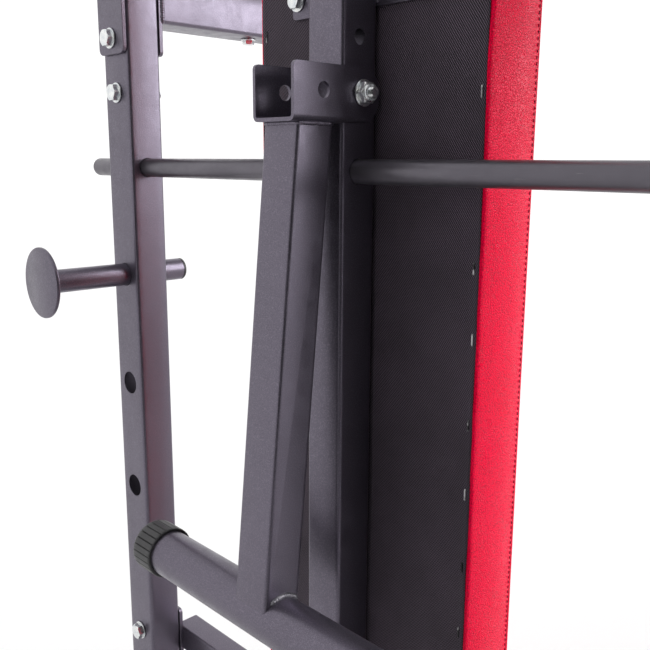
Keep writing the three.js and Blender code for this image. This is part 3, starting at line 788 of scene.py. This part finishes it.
def arm(side, x):
    a = ARM
    centre = (x, 0, a["z"])
    tube = box_tube("y", a["size"], a["size"], a["wall"], 4, a["front"], a["rear"], centre)
    plate = prism("y", rounded_rect(50, a["plate"], 5), 20.3, 24.8, centre)
    top = a["z"] + a["size"] / 2
    post = turned("z", [(14, top - 1), (14, top + 120), (12, top + 120), (12, top - 1)], (x, GRIP["y"], 0), loop=True)
    around_post = [(x + u, GRIP["y"] + v, top) for u, v in circle(14.5, 24)]
    seams = [bead(rect_path("y", 49, 49, 4, 25.2, centre), 2.6, seed=x), bead(around_post, 2.2, seed=x + 1)]
    piece(f"arm_{side}_steel", merge(tube, plate, post), PAINT, "rack", (f"arm_{side}",), bevel=0.5)
    welds(f"arm_{side}_welds", "rack", *seams)
    clamp = prism("y", rounded_rect(50, a["plate"], 7), -24.8, -20.3, centre)
    piece(f"arm_front_plate_{side}_steel", clamp, PAINT, "rack",
          (f"arm_front_plate_{side}",), bevel=0.7)
    for level, half in (("lower", -0.5), ("upper", 0.5)):
        seat = (x, -24.8, a["z"] + half * a["pitch"])
        bolt(f"arm_bolt_{level}_{side}", M10, 49.6, seat, (0, -1, 0), "rack")
    bolt(f"upright_bolt_{side}", M10, 40, (x, -20, UPRIGHT_BOLT_Z), (0, -1, 0), "rack")
    for i, y in enumerate(ARM_PAD["bolts"]):
        seat = (x, y, a["z"] - a["size"] / 2)
        bolt(f"arm_pad_bolt_{i + 1}_{side}", M8, 62, seat, (0, 0, -1), "rack", nut=False)
    square_plug(f"arm_end_cap_{side}", 50, 50, a["wall"], 5, 14, "y", a["rear"], centre, "rack")


def hand_grip(side, x):
    """A foam grip with a rolled rim, shallow finger rings and a closed, softly rounded top."""
    r, low, high = GRIP["radius"], GRIP["bottom"], GRIP["top"]
    profile = [(GRIP["post"] + 0.4, low + 0.1), (r - 0.8, low), (r, low + 1.2), (r, low + 4), (r - 1.2, low + 6)]
    rings = 7
    span = (high - low - 26) / rings
    for i in range(rings):
        start = low + 9 + i * span
        profile += [(r - 1.3, start), (r - 0.3, start + 0.25 * span), (r - 0.3, start + 0.75 * span),
                    (r - 1.3, start + span - 0.8)]
    profile += [(r - 0.9, high - 15), (r, high - 12), (r, high - 5), (r - 1.2, high - 2), (r - 4, high - 0.4),
                (r - 9, high)]
    piece(f"arm_grip_{side}_foam", turned("z", profile, (x, GRIP["y"], 0)), FOAM, "rack",
          (f"arm_grip_{side}",), angle=50)


def lock_rod():
    solid = turned("x", rod_profile(ROD["radius"], -ROD["half"], ROD["half"], 2.5), sides=64)
    piece("lock_rod_steel", solid, ROD_PAINT, "rod", ("lock_rod",), angle=45)


def peg(side, x):
    """A barbell peg: a steel tube welded to a round flat disc, with a plastic bung in its rear end."""
    r, front, rear = PEG["radius"], PEG["front"], PEG["rear"]
    disc_r, face = PEG_DISC["radius"], PEG["front"] - PEG_DISC["thick"]
    centre = (x, 0, PEG["heights"][PEG_IN_HOLE[side]])
    disc = turned("y", [(disc_r - 1.2, face), (disc_r - 0.4, face + 0.3), (disc_r, face + 1.1),
                        (disc_r, front - 1.1), (disc_r - 0.4, front - 0.3), (disc_r - 1.2, front)], centre, 96)
    stem = turned("y", [(r, front - 1), (r, rear - 0.4), (r - 0.4, rear), (r - PEG["wall"] + 0.3, rear),
                        (r - PEG["wall"], rear - 0.4), (r - PEG["wall"], front - 1)], centre, 64, loop=True)
    seam = bead([(x + u, front + 0.6, centre[2] + v) for u, v in circle(r + 0.4, 32)], 2.4, seed=x)
    body = f"peg_{side}"
    piece(f"peg_{side}_steel", merge(disc, stem), PAINT, body, (f"peg_{side}",), angle=40)
    welds(f"peg_{side}_weld", body, seam)
    bung = turned("y", [(r - PEG["wall"] - 0.3, rear - 12), (r - PEG["wall"] - 0.3, rear + 0.3), (r, rear + 0.3),
                        (r, rear + 2.2), (r - 0.8, rear + 3.2), (r - 3, rear + 3.7), (2, rear + 3.8)], centre)
    piece(f"peg_plug_{side}_moulding", bung, PLASTIC, body, (f"peg_plug_{side}",), angle=40)


# ---------------------------------------------------------------- bench and folding leg

def bench_beam():
    b = BEAM
    tube = box_tube("z", b["size"], b["size"], b["wall"], b["corner"], b["bottom"], b["top"])
    tube = drilled(tube, hole("x", ROD["hole"], -30, 30),
                   hole("x", LOCK_HOLE["radius"], -30, 30, (0, 0, LEG_PIVOT_Z + LOCK_HOLE["offset"])))
    h = HINGE_PLATE
    z = CROSSBAR["z"]
    ear = [(h["radius"], h["top"]), (-h["radius"], h["top"])]
    ear += [(-h["radius"] * math.cos(t), z - h["radius"] * math.sin(t)) for t in (math.pi * i / 20 for i in range(21))]
    parts = [tube]
    seams = []
    for _, sign in SIDES:
        inner = sign * (h["x"] - 0.5)
        outer = sign * (h["x"] + h["thick"])
        parts.append(prism("x", ear, min(inner, outer), max(inner, outer)))
        for edge in (-1, 1):
            y = edge * h["radius"]
            seams.append(bead([(sign * 20, y, z + 26), (sign * 20, y, h["top"])], 1.9, False, sign + 5 * edge))
        seams.append(bead([(sign * 20, -14, h["top"]), (sign * 20, 14, h["top"])], 2.2, False, sign + 21))
    piece("bench_beam_steel", merge(*parts), PAINT, "bench", ("bench_beam",), bevel=0.5)
    welds("bench_beam_welds", "bench", *seams)
    square_plug("bench_beam_cap", b["size"], b["size"], b["wall"], 3, 14, "z", b["top"], (0, 0, 0), "bench")


def pad_straps():
    s = STRAP
    rear = s["front"] + s["thick"]
    for level, z in zip(("upper", "lower"), s["heights"]):
        plate = prism("y", rounded_rect(2 * s["half"], s["height"], 4), s["front"], rear, (0, 0, z))
        seams = []
        for _, sign in SIDES:
            x = sign * 19.2
            seams.append(bead([(x, 20.2, z - 13), (x, 20.2, z + 13)], 1.9, False, z + sign))
        piece(f"pad_strap_{level}_steel", plate, PAINT, "bench", (f"pad_strap_{level}",), bevel=0.5)
        welds(f"pad_strap_{level}_welds", "bench", *seams)
        for side, sign in SIDES:
            seat = (sign * s["bolt_x"], s["front"], z)
            bolt(f"pad_bolt_{level}_{side}", M8, 18.8, seat, (0, -1, 0), "bench", nut=False)


def leg_bracket():
    """A 3 mm plate bent up into a U, its side walls round at the pivot and its web cut back at the beam."""
    b = BRACKET
    outer, wall, bend = b["outer"], b["wall"], b["bend"]
    top = LEG_PIVOT_Z + b["round"]
    outline = channel_outline(outer, wall, bend, b["bottom"], top + 5)
    channel = prism("y", outline, b["front"] - 2, b["round"] + 2)
    side = bracket_side(b, top)
    profile = prism("x", side, -outer - 3, outer + 3)
    solid = combined(channel, profile, "INTERSECT")
    room = slab((wall - outer, b["web_rear"], b["bottom"] - 2), (outer - wall, b["round"] + 4, top + 3))
    lock = hole("x", LOCK_HOLE["radius"], -40, 40, (0, -LOCK_HOLE["offset"], LEG_PIVOT_Z))
    solid = drilled(solid, room, lock)
    piece("leg_bracket_steel", solid, PAINT, "leg", ("leg_bracket",), bevel=0.45)


def channel_outline(outer, wall, bend, bottom, top):
    """Cross-section of the bent plate, open at the top."""
    inner = outer - wall
    fold = bend - wall
    low = bottom + bend
    outline = [(-outer, top)]
    for centre, first in ((-outer + bend, 180), (outer - bend, 270)):
        for i in range(9):
            t = math.radians(first + 90 * i / 8)
            outline.append((centre + bend * math.cos(t), low + bend * math.sin(t)))
    outline += [(outer, top), (inner, top)]
    for centre, first in ((inner - fold, 0), (fold - inner, -90)):
        for i in range(9):
            t = math.radians(first - 90 * i / 8)
            outline.append((centre + fold * math.cos(t), low + fold * math.sin(t)))
    return outline + [(-inner, top)]


def bracket_side(b, top):
    """Side profile of the bracket: straight in front, with a small nosed corner, round behind."""
    drop = LEG_PIVOT_Z - b["bottom"]
    nose = 4
    side = [(b["front"], b["bottom"])]
    for i in range(17):
        t = -math.pi / 2 + math.pi / 2 * i / 16
        side.append((b["round"] * math.cos(t), LEG_PIVOT_Z + drop * math.sin(t)))
    for i in range(1, 17):
        t = math.pi / 2 * i / 16
        side.append((b["round"] * math.cos(t), LEG_PIVOT_Z + b["round"] * math.sin(t)))
    for i in range(7):
        t = math.pi / 2 + math.pi / 2 * i / 6
        side.append((b["front"] + nose + nose * math.cos(t), top - nose + nose * math.sin(t)))
    return side


def leg_strut():
    s, f = STRUT, LEG_FOOT
    length = (s["top"] - f["z"]) / math.cos(s["lean"]) + 20
    foot = (0, f["y"], f["z"])
    tube = box_tube("z", s["width"], s["depth"], s["wall"], s["corner"], 0, length)
    tube = turned_x(tube, -s["lean"], foot)
    above = slab((-50, -140, s["top"]), (50, 80, s["top"] + 80))
    saddle = hole("x", f["radius"] + 0.2, -60, 60, foot)
    piece("leg_strut_tube", drilled(tube, above, saddle), PAINT, "leg", ("leg_strut",), bevel=0.5)
    strut_welds(s, f)


def strut_welds(s, f):
    """The weld round the strut under the bracket, and the arcs where it sits on the foot tube."""
    middle_y = f["y"] + math.tan(s["lean"]) * (s["top"] - f["z"])
    under = rect_path("z", s["width"] - 1, s["depth"] - 1, 3.5, s["top"] - 0.6, (0, middle_y, 0))
    rear = math.radians(32)
    y = f["y"] + (f["radius"] + 0.6) * math.cos(rear)
    z = f["z"] + (f["radius"] + 0.6) * math.sin(rear)
    welds("leg_strut_welds", "leg", bead(under, 1.9, seed=11), bead([(-17, y, z), (17, y, z)], 2.2, False, 40))
    arcs = []
    for sign in (-1, 1):
        arc = []
        for i in range(15):
            t = math.radians(38 + 82 * i / 14)
            arc.append((sign * 20, f["y"] + (f["radius"] + 0.8) * math.cos(t), f["z"] + (f["radius"] + 0.8) * math.sin(t)))
        arcs.append(bead(arc, 2.5, False, sign + 60))
    piece("leg_foot_welds", merge(*arcs), WELD, "leg", angle=180)


def leg_foot():
    f = LEG_FOOT
    r = f["radius"]
    centre = (0, f["y"], f["z"])
    tube = turned("x", [(r, -f["half"]), (r, f["half"]), (r - 2, f["half"]), (r - 2, -f["half"])], centre, 64, loop=True)
    piece("leg_foot_tube_steel", tube, PAINT, "leg", ("leg_foot_tube",), bevel=0.4)
    for side, sign in SIDES:
        ribbed_cap(side, sign, centre)
    bolt("leg_pivot_bolt", M10, 48, (-24, 0, LEG_PIVOT_Z), (-1, 0, 0), "leg", nut_washer=True)


def ribbed_cap(side, sign, centre):
    """A round end cap with flats along it, separated by narrow grooves that run out near the mouth."""
    c = FOOT_CAP
    sides = c["flats"] * 10
    levels = [(c["start"], 1.5, 0.3), (c["start"] + 0.4, 0.5, 0.6), (c["start"] + 1.4, 0.0, 1.0)]
    levels += [(c["start"] + 3 + 2 * i, 0.0, 1.0) for i in range(11)]
    levels += [(c["end"] - 4.0, 0.1, 1.0), (c["end"] - 2.4, 0.6, 0.8), (c["end"] - 1.0, 1.9, 0.4),
               (c["end"] - 0.3, 3.4, 0.1), (c["end"], 6.0, 0.0), (c["end"] + 0.2, 14.0, 0.0)]
    rings = []
    for w, inset, depth in levels:
        ring = []
        for i in range(sides):
            t = math.tau * i / sides
            phase = (i % 10) / 10
            groove = depth * max(0.0, 1 - abs(phase - 0.5) / 0.12) * 1.1
            flat = (1 - math.cos(math.pi / c["flats"])) * math.cos(math.tau * phase) * c["radius"] * 0.5
            r = c["radius"] - inset - groove - flat * (depth > 0.2)
            ring.append((sign * w, centre[1] + r * math.cos(t), centre[2] + r * math.sin(t)))
        rings.append(ring)
    mouth = [[(sign * w, centre[1] + r * math.cos(math.tau * i / sides), centre[2] + r * math.sin(math.tau * i / sides))
              for i in range(sides)] for r, w in ((LEG_FOOT["radius"] + 0.25, c["end"] - 5), (LEG_FOOT["radius"] + 0.25, c["start"]))]
    solid = loft(mouth + rings)
    piece(f"leg_foot_cap_{side}_moulding", solid, PLASTIC, "leg", (f"leg_foot_cap_{side}",), angle=38)


# ---------------------------------------------------------------- upholstery

def edge_walk(width, length, corner, across, lengthwise):
    """Points round a rounded rectangle from one corner's middle, with outward normals: (u, v, nu, nv)."""
    walk = []
    quarter = corner * math.pi / 4
    turns = (((0, -1), (1, 0)), ((1, 0), (0, 1)), ((0, 1), (-1, 0)), ((-1, 0), (0, -1)))
    for k, (out, on) in enumerate(turns):
        flat = (width if k % 2 == 0 else length) - 2 * corner
        reach = (length if k % 2 == 0 else width) / 2
        count = across if k % 2 == 0 else lengthwise
        total = flat + 2 * quarter
        for i in range(count):
            s = total * i / count
            angle = min(0.0, (s - quarter) / corner) + max(0.0, (s - quarter - flat) / corner)
            shift = max(-flat / 2, min(flat / 2, s - quarter - flat / 2))
            go = shift + corner * math.sin(angle)
            rise = reach + corner * (math.cos(angle) - 1)
            c, n = math.cos(angle), math.sin(angle)
            walk.append((out[0] * rise + on[0] * go, out[1] * rise + on[1] * go,
                         out[0] * c + on[0] * n, out[1] * c + on[1] * n))
    return walk


def cover(width, length, corner, profile, crown, spacing, wobble=None):
    """A pad's cover as rings from its hidden back edge to its front panel, which is a grid of quads.

    profile holds (inset, height) pairs. Returns the points as (u, v, h), the faces, the ring size and the
    indices of the points inside the flat back.
    """
    across = round(width / spacing)
    lengthwise = round(length / spacing)
    walk = edge_walk(width, length, corner, across, lengthwise)
    ring_size = len(walk)
    points = []
    for step, (inset, height) in enumerate(profile):
        for u, v, nu, nv in walk:
            dn, dh = wobble(step, u, v) if wobble else (0.0, 0.0)
            points.append((u - nu * (inset - dn), v - nv * (inset - dn), height + dh))
    faces = []
    for step in range(len(profile) - 1):
        a, b = step * ring_size, (step + 1) * ring_size
        for k in range(ring_size):
            n = (k + 1) % ring_size
            faces.append((a + k, a + n, b + n, b + k))
    last = (len(profile) - 1) * ring_size
    add_panel(points, faces, last, across, lengthwise, crown)
    front_end = len(points)
    add_panel(points, faces, 0, across, lengthwise, 0.0)
    return points, faces, ring_size, list(range(front_end, len(points)))


def add_panel(points, faces, ring_start, across, lengthwise, crown):
    """Fills the last ring with a grid blended from its four sides, raised to a crown in the middle."""
    def on_ring(i):
        return ring_start + i % (2 * (across + lengthwise))

    index = {}
    for i in range(across + 1):
        index[i, 0] = on_ring(i)
        index[i, lengthwise] = on_ring(2 * across + lengthwise - i)
    for j in range(lengthwise + 1):
        index[across, j] = on_ring(across + j)
        index[0, j] = on_ring(2 * across + 2 * lengthwise - j)
    def at(i, j):
        return Vector(points[index[i, j]])

    for i in range(1, across):
        for j in range(1, lengthwise):
            s, t = i / across, j / lengthwise
            p = at(i, 0) * (1 - t) + at(i, lengthwise) * t + at(0, j) * (1 - s) + at(across, j) * s
            p -= (at(0, 0) * (1 - s) + at(across, 0) * s) * (1 - t)
            p -= (at(0, lengthwise) * (1 - s) + at(across, lengthwise) * s) * t
            rise = (1 - abs(2 * s - 1) ** 3) * (1 - abs(2 * t - 1) ** 7)
            p.z += crown * rise
            index[i, j] = len(points)
            points.append(tuple(p))
    for i in range(across):
        for j in range(lengthwise):
            faces.append((index[i, j], index[i + 1, j], index[i + 1, j + 1], index[i, j + 1]))


def stuff(obj, held, pressure, limit, frames=14):
    """Inflates a cover with Cloth between the points that are held, then keeps the result."""
    group = obj.vertex_groups.new(name="held")
    group.add(held, 1.0, "REPLACE")
    modifier = obj.modifiers.new("stuffing", "CLOTH")
    cloth = modifier.settings
    cloth.quality = 4
    cloth.mass = 0.25
    cloth.tension_stiffness = 18
    cloth.compression_stiffness = 18
    cloth.bending_stiffness = 2
    cloth.effector_weights.gravity = 0
    cloth.use_pressure = True
    cloth.uniform_pressure_force = pressure
    cloth.vertex_group_mass = "held"
    modifier.collision_settings.use_collision = False
    modifier.point_cache.frame_end = frames
    for step in range(1, frames + 1):
        bpy.context.scene.frame_set(step)
    swollen = obj.evaluated_get(bpy.context.evaluated_depsgraph_get()).to_mesh()
    places = [v.co.copy() for v in swollen.vertices]
    moved_by = 0.0
    for v, place in zip(obj.data.vertices, places):
        step = place - v.co
        moved_by = max(moved_by, step.length)
        if step.length > limit:
            step *= limit / step.length
        v.co = v.co + step
    print(f"{obj.name}: the cover moved by {moved_by * 1000:.1f} mm")
    obj.modifiers.remove(modifier)
    bpy.context.scene.frame_set(1)


def upholstered(name, points, faces, to_rack, material, body, replaces):
    solid = ([to_rack(*p) for p in points], faces)
    obj = piece(name, solid, material, body, replaces, angle=180)
    return obj


def subdivided(obj):
    modifier = obj.modifiers.new("smooth", "SUBSURF")
    modifier.levels = 1
    modifier.render_levels = 1


def stitch_row(path, normals, length, gap, radius, lift):
    """Short sewn stitches along a closed path: each one dips into the cover at both ends."""
    total = 0.0
    marks = [0.0]
    for a, b in zip(path, path[1:] + path[:1]):
        total += (b - a).length
        marks.append(total)
    count = int(total / (length + gap))
    pitch = total / count

    def at(s):
        s %= total
        k = next(i for i in range(len(path)) if marks[i + 1] >= s)
        t = (s - marks[k]) / max(marks[k + 1] - marks[k], 1e-9)
        n = (k + 1) % len(path)
        return path[k].lerp(path[n], t), normals[k].lerp(normals[n], t).normalized()

    rows = []
    shape = ((0.0, -1.2, 0.35), (0.12, 0.2, 0.8), (0.35, 0.9, 1.0), (0.65, 0.9, 1.0), (0.88, 0.2, 0.8), (1.0, -1.2, 0.35))
    for i in range(count):
        rings = []
        for s, rise, girth in shape:
            p, n = at(i * pitch + s * length)
            ahead, _ = at(i * pitch + s * length + 0.3)
            tangent = (ahead - p).normalized()
            side = tangent.cross(n).normalized()
            centre = p + n * (lift + rise * radius)
            rings.append([tuple(centre + (side * math.cos(a) + n * math.sin(a)) * radius * girth)
                          for a in (math.tau * k / 6 for k in range(6))])
        rows.append(loft(rings))
    return merge(*rows)


def ring_path(obj, ring_size, step, toward=0):
    """Places and normals of one ring of a cover, back in the rack's millimetres."""
    first = step * ring_size
    mesh = obj.data
    path = [(mesh.vertices[first + k].co - RACK_ORIGIN) * 1000 for k in range(ring_size)]
    normals = [mesh.vertices[first + k].normal.copy() for k in range(ring_size)]
    return path, normals


PAD_PROFILE = [
    (15, 24.2), (9, 24.1), (5.5, 23.8), (3.4, 22.9), (1.9, 22.5), (0.7, 23.2), (0.1, 25.0), (-0.2, 28.5),
    (-0.3, 34.5), (-0.4, 41), (-0.4, 48), (-0.4, 55), (-0.3, 61.5), (-0.2, 67.5), (-0.1, 73.5), (0.0, 78.5),
    (0.1, 82.2), (0.4, 84.0), (1.5, 85.0), (1.7, 85.5), (0.6, 86.1), (0.2, 87.2), (0.5, 88.8), (1.6, 90.4),
    (3.8, 91.5), (8, 91.9),
]
PAD_SEAM = (18, 19)
PAD_BACK_RINGS = 5


def pad_wobble(step, u, v):
    """The folded back edge isn't dead straight, and it is pleated round the corners."""
    if step > 8:
        return 0.0, 0.0
    fade = 1.0 if step < 6 else (9 - step) / 3
    drift = noise.noise(Vector((u * 0.012, v * 0.012, 3.1)))
    crinkle = noise.noise(Vector((u * 0.06, v * 0.06, 8.4)))
    from_corner = max(0.0, 1 - (Vector((abs(u), abs(v))) - Vector((PAD["width"] / 2 - 10, 418))).length / 26)
    pleat = math.sin(math.atan2(abs(v) - 406, abs(u) - 106) * 22) * from_corner
    return fade * (0.9 * drift + 0.2 * crinkle), fade * (0.8 * drift + 0.3 * crinkle + 0.55 * pleat)


def bench_pad():
    middle = (PAD["top"] + PAD["bottom"]) / 2
    length = PAD["top"] - PAD["bottom"]
    points, faces, size, back = cover(PAD["width"], length, PAD["corner"], PAD_PROFILE, 1.0, 5.6, pad_wobble)

    def to_rack(u, v, h):
        return (u, h, v + middle)

    obj = upholstered("pad_cover_red", points, faces, to_rack, RED_VINYL, "bench", ("pad_cushion",))
    held = back + list(range(PAD_BACK_RINGS * size)) + list(range(PAD_SEAM[0] * size, (PAD_SEAM[1] + 1) * size))
    stuff(obj, held, 1.2, 0.006)
    path, normals = ring_path(obj, size, 16)
    sewn = stitch_row(path, normals, 3.2, 1.5, 0.42, 0.0)
    subdivided(obj)
    piece("pad_cover_stitches", sewn, RED_THREAD, "bench")
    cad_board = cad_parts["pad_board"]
    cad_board.data.materials.clear()
    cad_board.data.materials.append(BOARD)
    backing_cloth(middle, length)


def backing_cloth(middle, length):
    """Black cloth over the pad's back: taut between its staples, with a slightly uneven cut edge."""
    width = PAD["width"] - 2 * CLOTH["inset"]
    tall = length - 2 * CLOTH["inset"]
    across, lengthwise = 64, 210
    walk = edge_walk(width, tall, PAD["corner"] - 3, across, lengthwise)
    points = []
    for u, v, nu, nv in walk:
        ragged = 0.9 * noise.noise(Vector((u * 0.025, v * 0.025, 1.7))) + 0.2 * noise.noise(Vector((u * 0.2, v * 0.2, 5.0)))
        points.append((u + nu * ragged, v + nv * ragged, 0.0))
    faces = []
    add_panel(points, faces, 0, across, lengthwise, 0.0)
    marks = staple_places(width, tall)
    placed = []
    for u, v, _ in points:
        slack = 0.25 * noise.noise(Vector((u * 0.018, v * 0.018, 2.2)))
        edge = min(width / 2 - abs(u), tall / 2 - abs(v))
        lifted = max(0.0, 1 - edge / 4) * 0.75
        pull = sum(max(0.0, 1 - math.hypot((u - su) / 7, (v - sv) / 9)) for su, sv, _ in marks) * 0.35
        placed.append((u, CLOTH["y"] - slack * (edge > 4) - lifted + pull * 0.6, v + middle))
    cloth = piece("pad_backing_twill", (placed, faces), TWILL, "bench", ("pad_backing",), angle=180)
    thickness = cloth.modifiers.new("cloth thickness", "SOLIDIFY")
    thickness.thickness = CLOTH["thick"] * 0.001
    thickness.offset = 0
    staples = [staple(su, sv + middle, turn) for su, sv, turn in marks]
    piece("pad_backing_staples", merge(*staples), STAPLE, "bench", angle=50)


def staple_places(width, tall):
    """Staples about 64 mm apart round the back, a little out of line: (u, v, quarter turns)."""
    rng = random.Random(4)
    places = []
    for sign in (-1, 1):
        count = int(tall / 63.6)
        for i in range(count + 1):
            v = -tall / 2 + (tall - count * 63.6) / 2 + i * 63.6 + rng.uniform(-5, 5)
            v = max(-tall / 2 + 22, min(tall / 2 - 22, v))
            places.append((sign * (width / 2 - rng.uniform(3.4, 5.6)), v, 0))
        for i in range(3):
            u = (i - 1) * 66 + rng.uniform(-5, 5)
            places.append((u, sign * (tall / 2 - rng.uniform(3.4, 5.6)), 1))
    return places


def staple(x, z, turn):
    """The crown of one staple, a flat wire bent down at both ends."""
    half, wide, thick = 4.6, 0.65, 0.4
    y = CLOTH["y"] - 0.75
    line = [(-half, 1.2), (-half, 0.35), (-half + 0.25, 0.05), (-half + 0.8, 0.0), (half - 0.8, 0.0),
            (half - 0.25, 0.05), (half, 0.35), (half, 1.2)]
    rings = []
    for s, deep in line:
        ends = abs(s) >= half - 0.01
        ring = []
        for a, b in ((-1, -1), (1, -1), (1, 1), (-1, 1)):
            on = s + (b * thick * (-1 if s > 0 else 1) if ends else 0)
            depth = y + deep + (0 if ends else b * thick)
            if turn:
                ring.append((x + on, depth, z + a * wide))
            else:
                ring.append((x + a * wide, depth, z + on))
        rings.append(ring)
    return loft(rings)


ARM_PROFILE = [
    (16, 1.2), (9, 0.6), (4.6, 0.5), (2.2, 1.6), (1.0, 4.2), (0.5, 8.5), (0.2, 13.5), (0.1, 18.5), (0.2, 23),
    (0.5, 27.5), (1.0, 31), (1.9, 33.6), (3.2, 34.9), (3.5, 35.7), (2.7, 36.7), (2.9, 38.6), (4.0, 41.2),
    (6.4, 43.9), (10.5, 46.2), (15.5, 47.6),
]
ARM_SEAM = (12, 13)


def arm_rest(side, x):
    p = ARM_PAD
    middle = (p["front"] + p["rear"]) / 2
    points, faces, size, back = cover(p["width"], p["rear"] - p["front"], 20, ARM_PROFILE, 1.6, 5.0)

    def to_rack(u, v, h):
        return (x + u, v + middle, p["bottom"] + h)

    obj = upholstered(f"arm_pad_{side}_cover", points, faces, to_rack, BLACK_VINYL, "rack",
                      (f"arm_pad_{side}",))
    held = back + list(range(3 * size)) + list(range(ARM_SEAM[0] * size, (ARM_SEAM[1] + 1) * size))
    stuff(obj, held, 1.5, 0.005)
    path, normals = ring_path(obj, size, 10)
    sewn = stitch_row(path, normals, 3.2, 1.5, 0.42, 0.0)
    subdivided(obj)
    piece(f"arm_pad_{side}_stitches", sewn, BLACK_THREAD, "rack")


# ---------------------------------------------------------------- studio

def pale_floor():
    mesh = bpy.data.meshes.new("floor")
    reach = 14
    mesh.from_pydata([(-reach, -reach, 0), (reach, -reach, 0), (reach, reach, 0), (-reach, reach, 0)], [], [(0, 1, 2, 3)])
    floor = bpy.data.objects.new("floor", mesh)
    bpy.context.scene.collection.objects.link(floor)
    s = Shader("studio_floor")
    color = s.ramp(s.noise(3, 3), ((0.3, (0.965, 0.965, 0.97)), (0.7, (0.98, 0.98, 0.98))))
    mesh.materials.append(s.finish(color, Roughness=0.7, Specular_IOR_Level=0.2))
    return floor


def dark_flag(place, target, size):
    """A black card beside the camera, which keeps light off the faces turned to it."""
    half = size / 2
    mesh = bpy.data.meshes.new("dark_flag")
    mesh.from_pydata([(-half, -half, 0), (half, -half, 0), (half, half, 0), (-half, half, 0)], [], [(0, 1, 2, 3)])
    flag = bpy.data.objects.new("dark_flag", mesh)
    flag.location = place
    flag.rotation_mode = "QUATERNION"
    flag.rotation_quaternion = (Vector(target) - Vector(place)).to_track_quat("Z", "Y")
    flag.visible_camera = False
    bpy.context.scene.collection.objects.link(flag)
    s = Shader("flag_cloth")
    color = s.ramp(s.noise(20, 3), ((0.3, 0.012), (0.7, 0.02)))
    mesh.materials.append(s.finish(color, Roughness=0.9, Specular_IOR_Level=0.1))


def soft_light(name, place, target, size, watts):
    data = bpy.data.lights.new(name, "AREA")
    data.shape = "RECTANGLE"
    data.size, data.size_y = size
    data.energy = watts
    lamp = bpy.data.objects.new(name, data)
    lamp.location = place
    lamp.rotation_mode = "QUATERNION"
    lamp.rotation_quaternion = (Vector(target) - Vector(place)).to_track_quat("-Z", "Y")
    lamp.visible_camera = False
    bpy.context.scene.collection.objects.link(lamp)
    return lamp


def studio():
    world = bpy.data.worlds.new("white room")
    world.use_nodes = True
    background = world.node_tree.nodes["Background"]
    background.inputs["Color"].default_value = (1, 1, 1, 1)
    background.inputs["Strength"].default_value = 1.12
    bpy.context.scene.world = world
    card = soft_light("card", (1.6, 1.5, 2.05), (-0.2, 0, 1.2), (2.0, 2.0), 74)
    dark_flag((1.35, -1.15, 1.3), (0, 0, 1.1), 2.5)
    floor = pale_floor()
    lit = bpy.data.collections.new("lit by the card")
    lit.objects.link(floor)
    lit.collection_objects[0].light_linking.link_state = "EXCLUDE"
    card.light_linking.receiver_collection = lit
    bpy.context.scene.view_settings.view_transform = "Standard"


def camera():
    c = CAMERA
    level = Vector((-math.sin(c["yaw"]), math.cos(c["yaw"]), 0))
    ahead = level * math.cos(c["pitch"]) - Vector((0, 0, 1)) * math.sin(c["pitch"])
    right = Vector((math.cos(c["yaw"]), math.sin(c["yaw"]), 0))
    up = right.cross(ahead)
    roll_c, roll_s = math.cos(c["roll"]), math.sin(c["roll"])
    axis_x = right * roll_c + up * roll_s
    axis_y = up * roll_c - right * roll_s
    data = bpy.data.cameras.new("camera")
    data.sensor_width = 36
    data.lens = c["lens"]
    data.clip_start = 0.02
    data.clip_end = 60
    obj = bpy.data.objects.new("camera", data)
    obj.matrix_world = Matrix.LocRotScale(c["place"], Matrix((axis_x, axis_y, -ahead)).transposed(), None)
    bpy.context.scene.collection.objects.link(obj)
    bpy.context.scene.camera = obj


for side, sign in SIDES:
    x = sign * UPRIGHT_X
    upright(side, x)
    floor_tube(side, x)
    arm(side, x)
    arm_rest(side, x)
    hand_grip(side, x)
    peg(side, x)
cross_tube()
lower_crossbar()
lock_rod()
bench_beam()
pad_straps()
bench_pad()
leg_bracket()
leg_strut()
leg_foot()
studio()
camera()
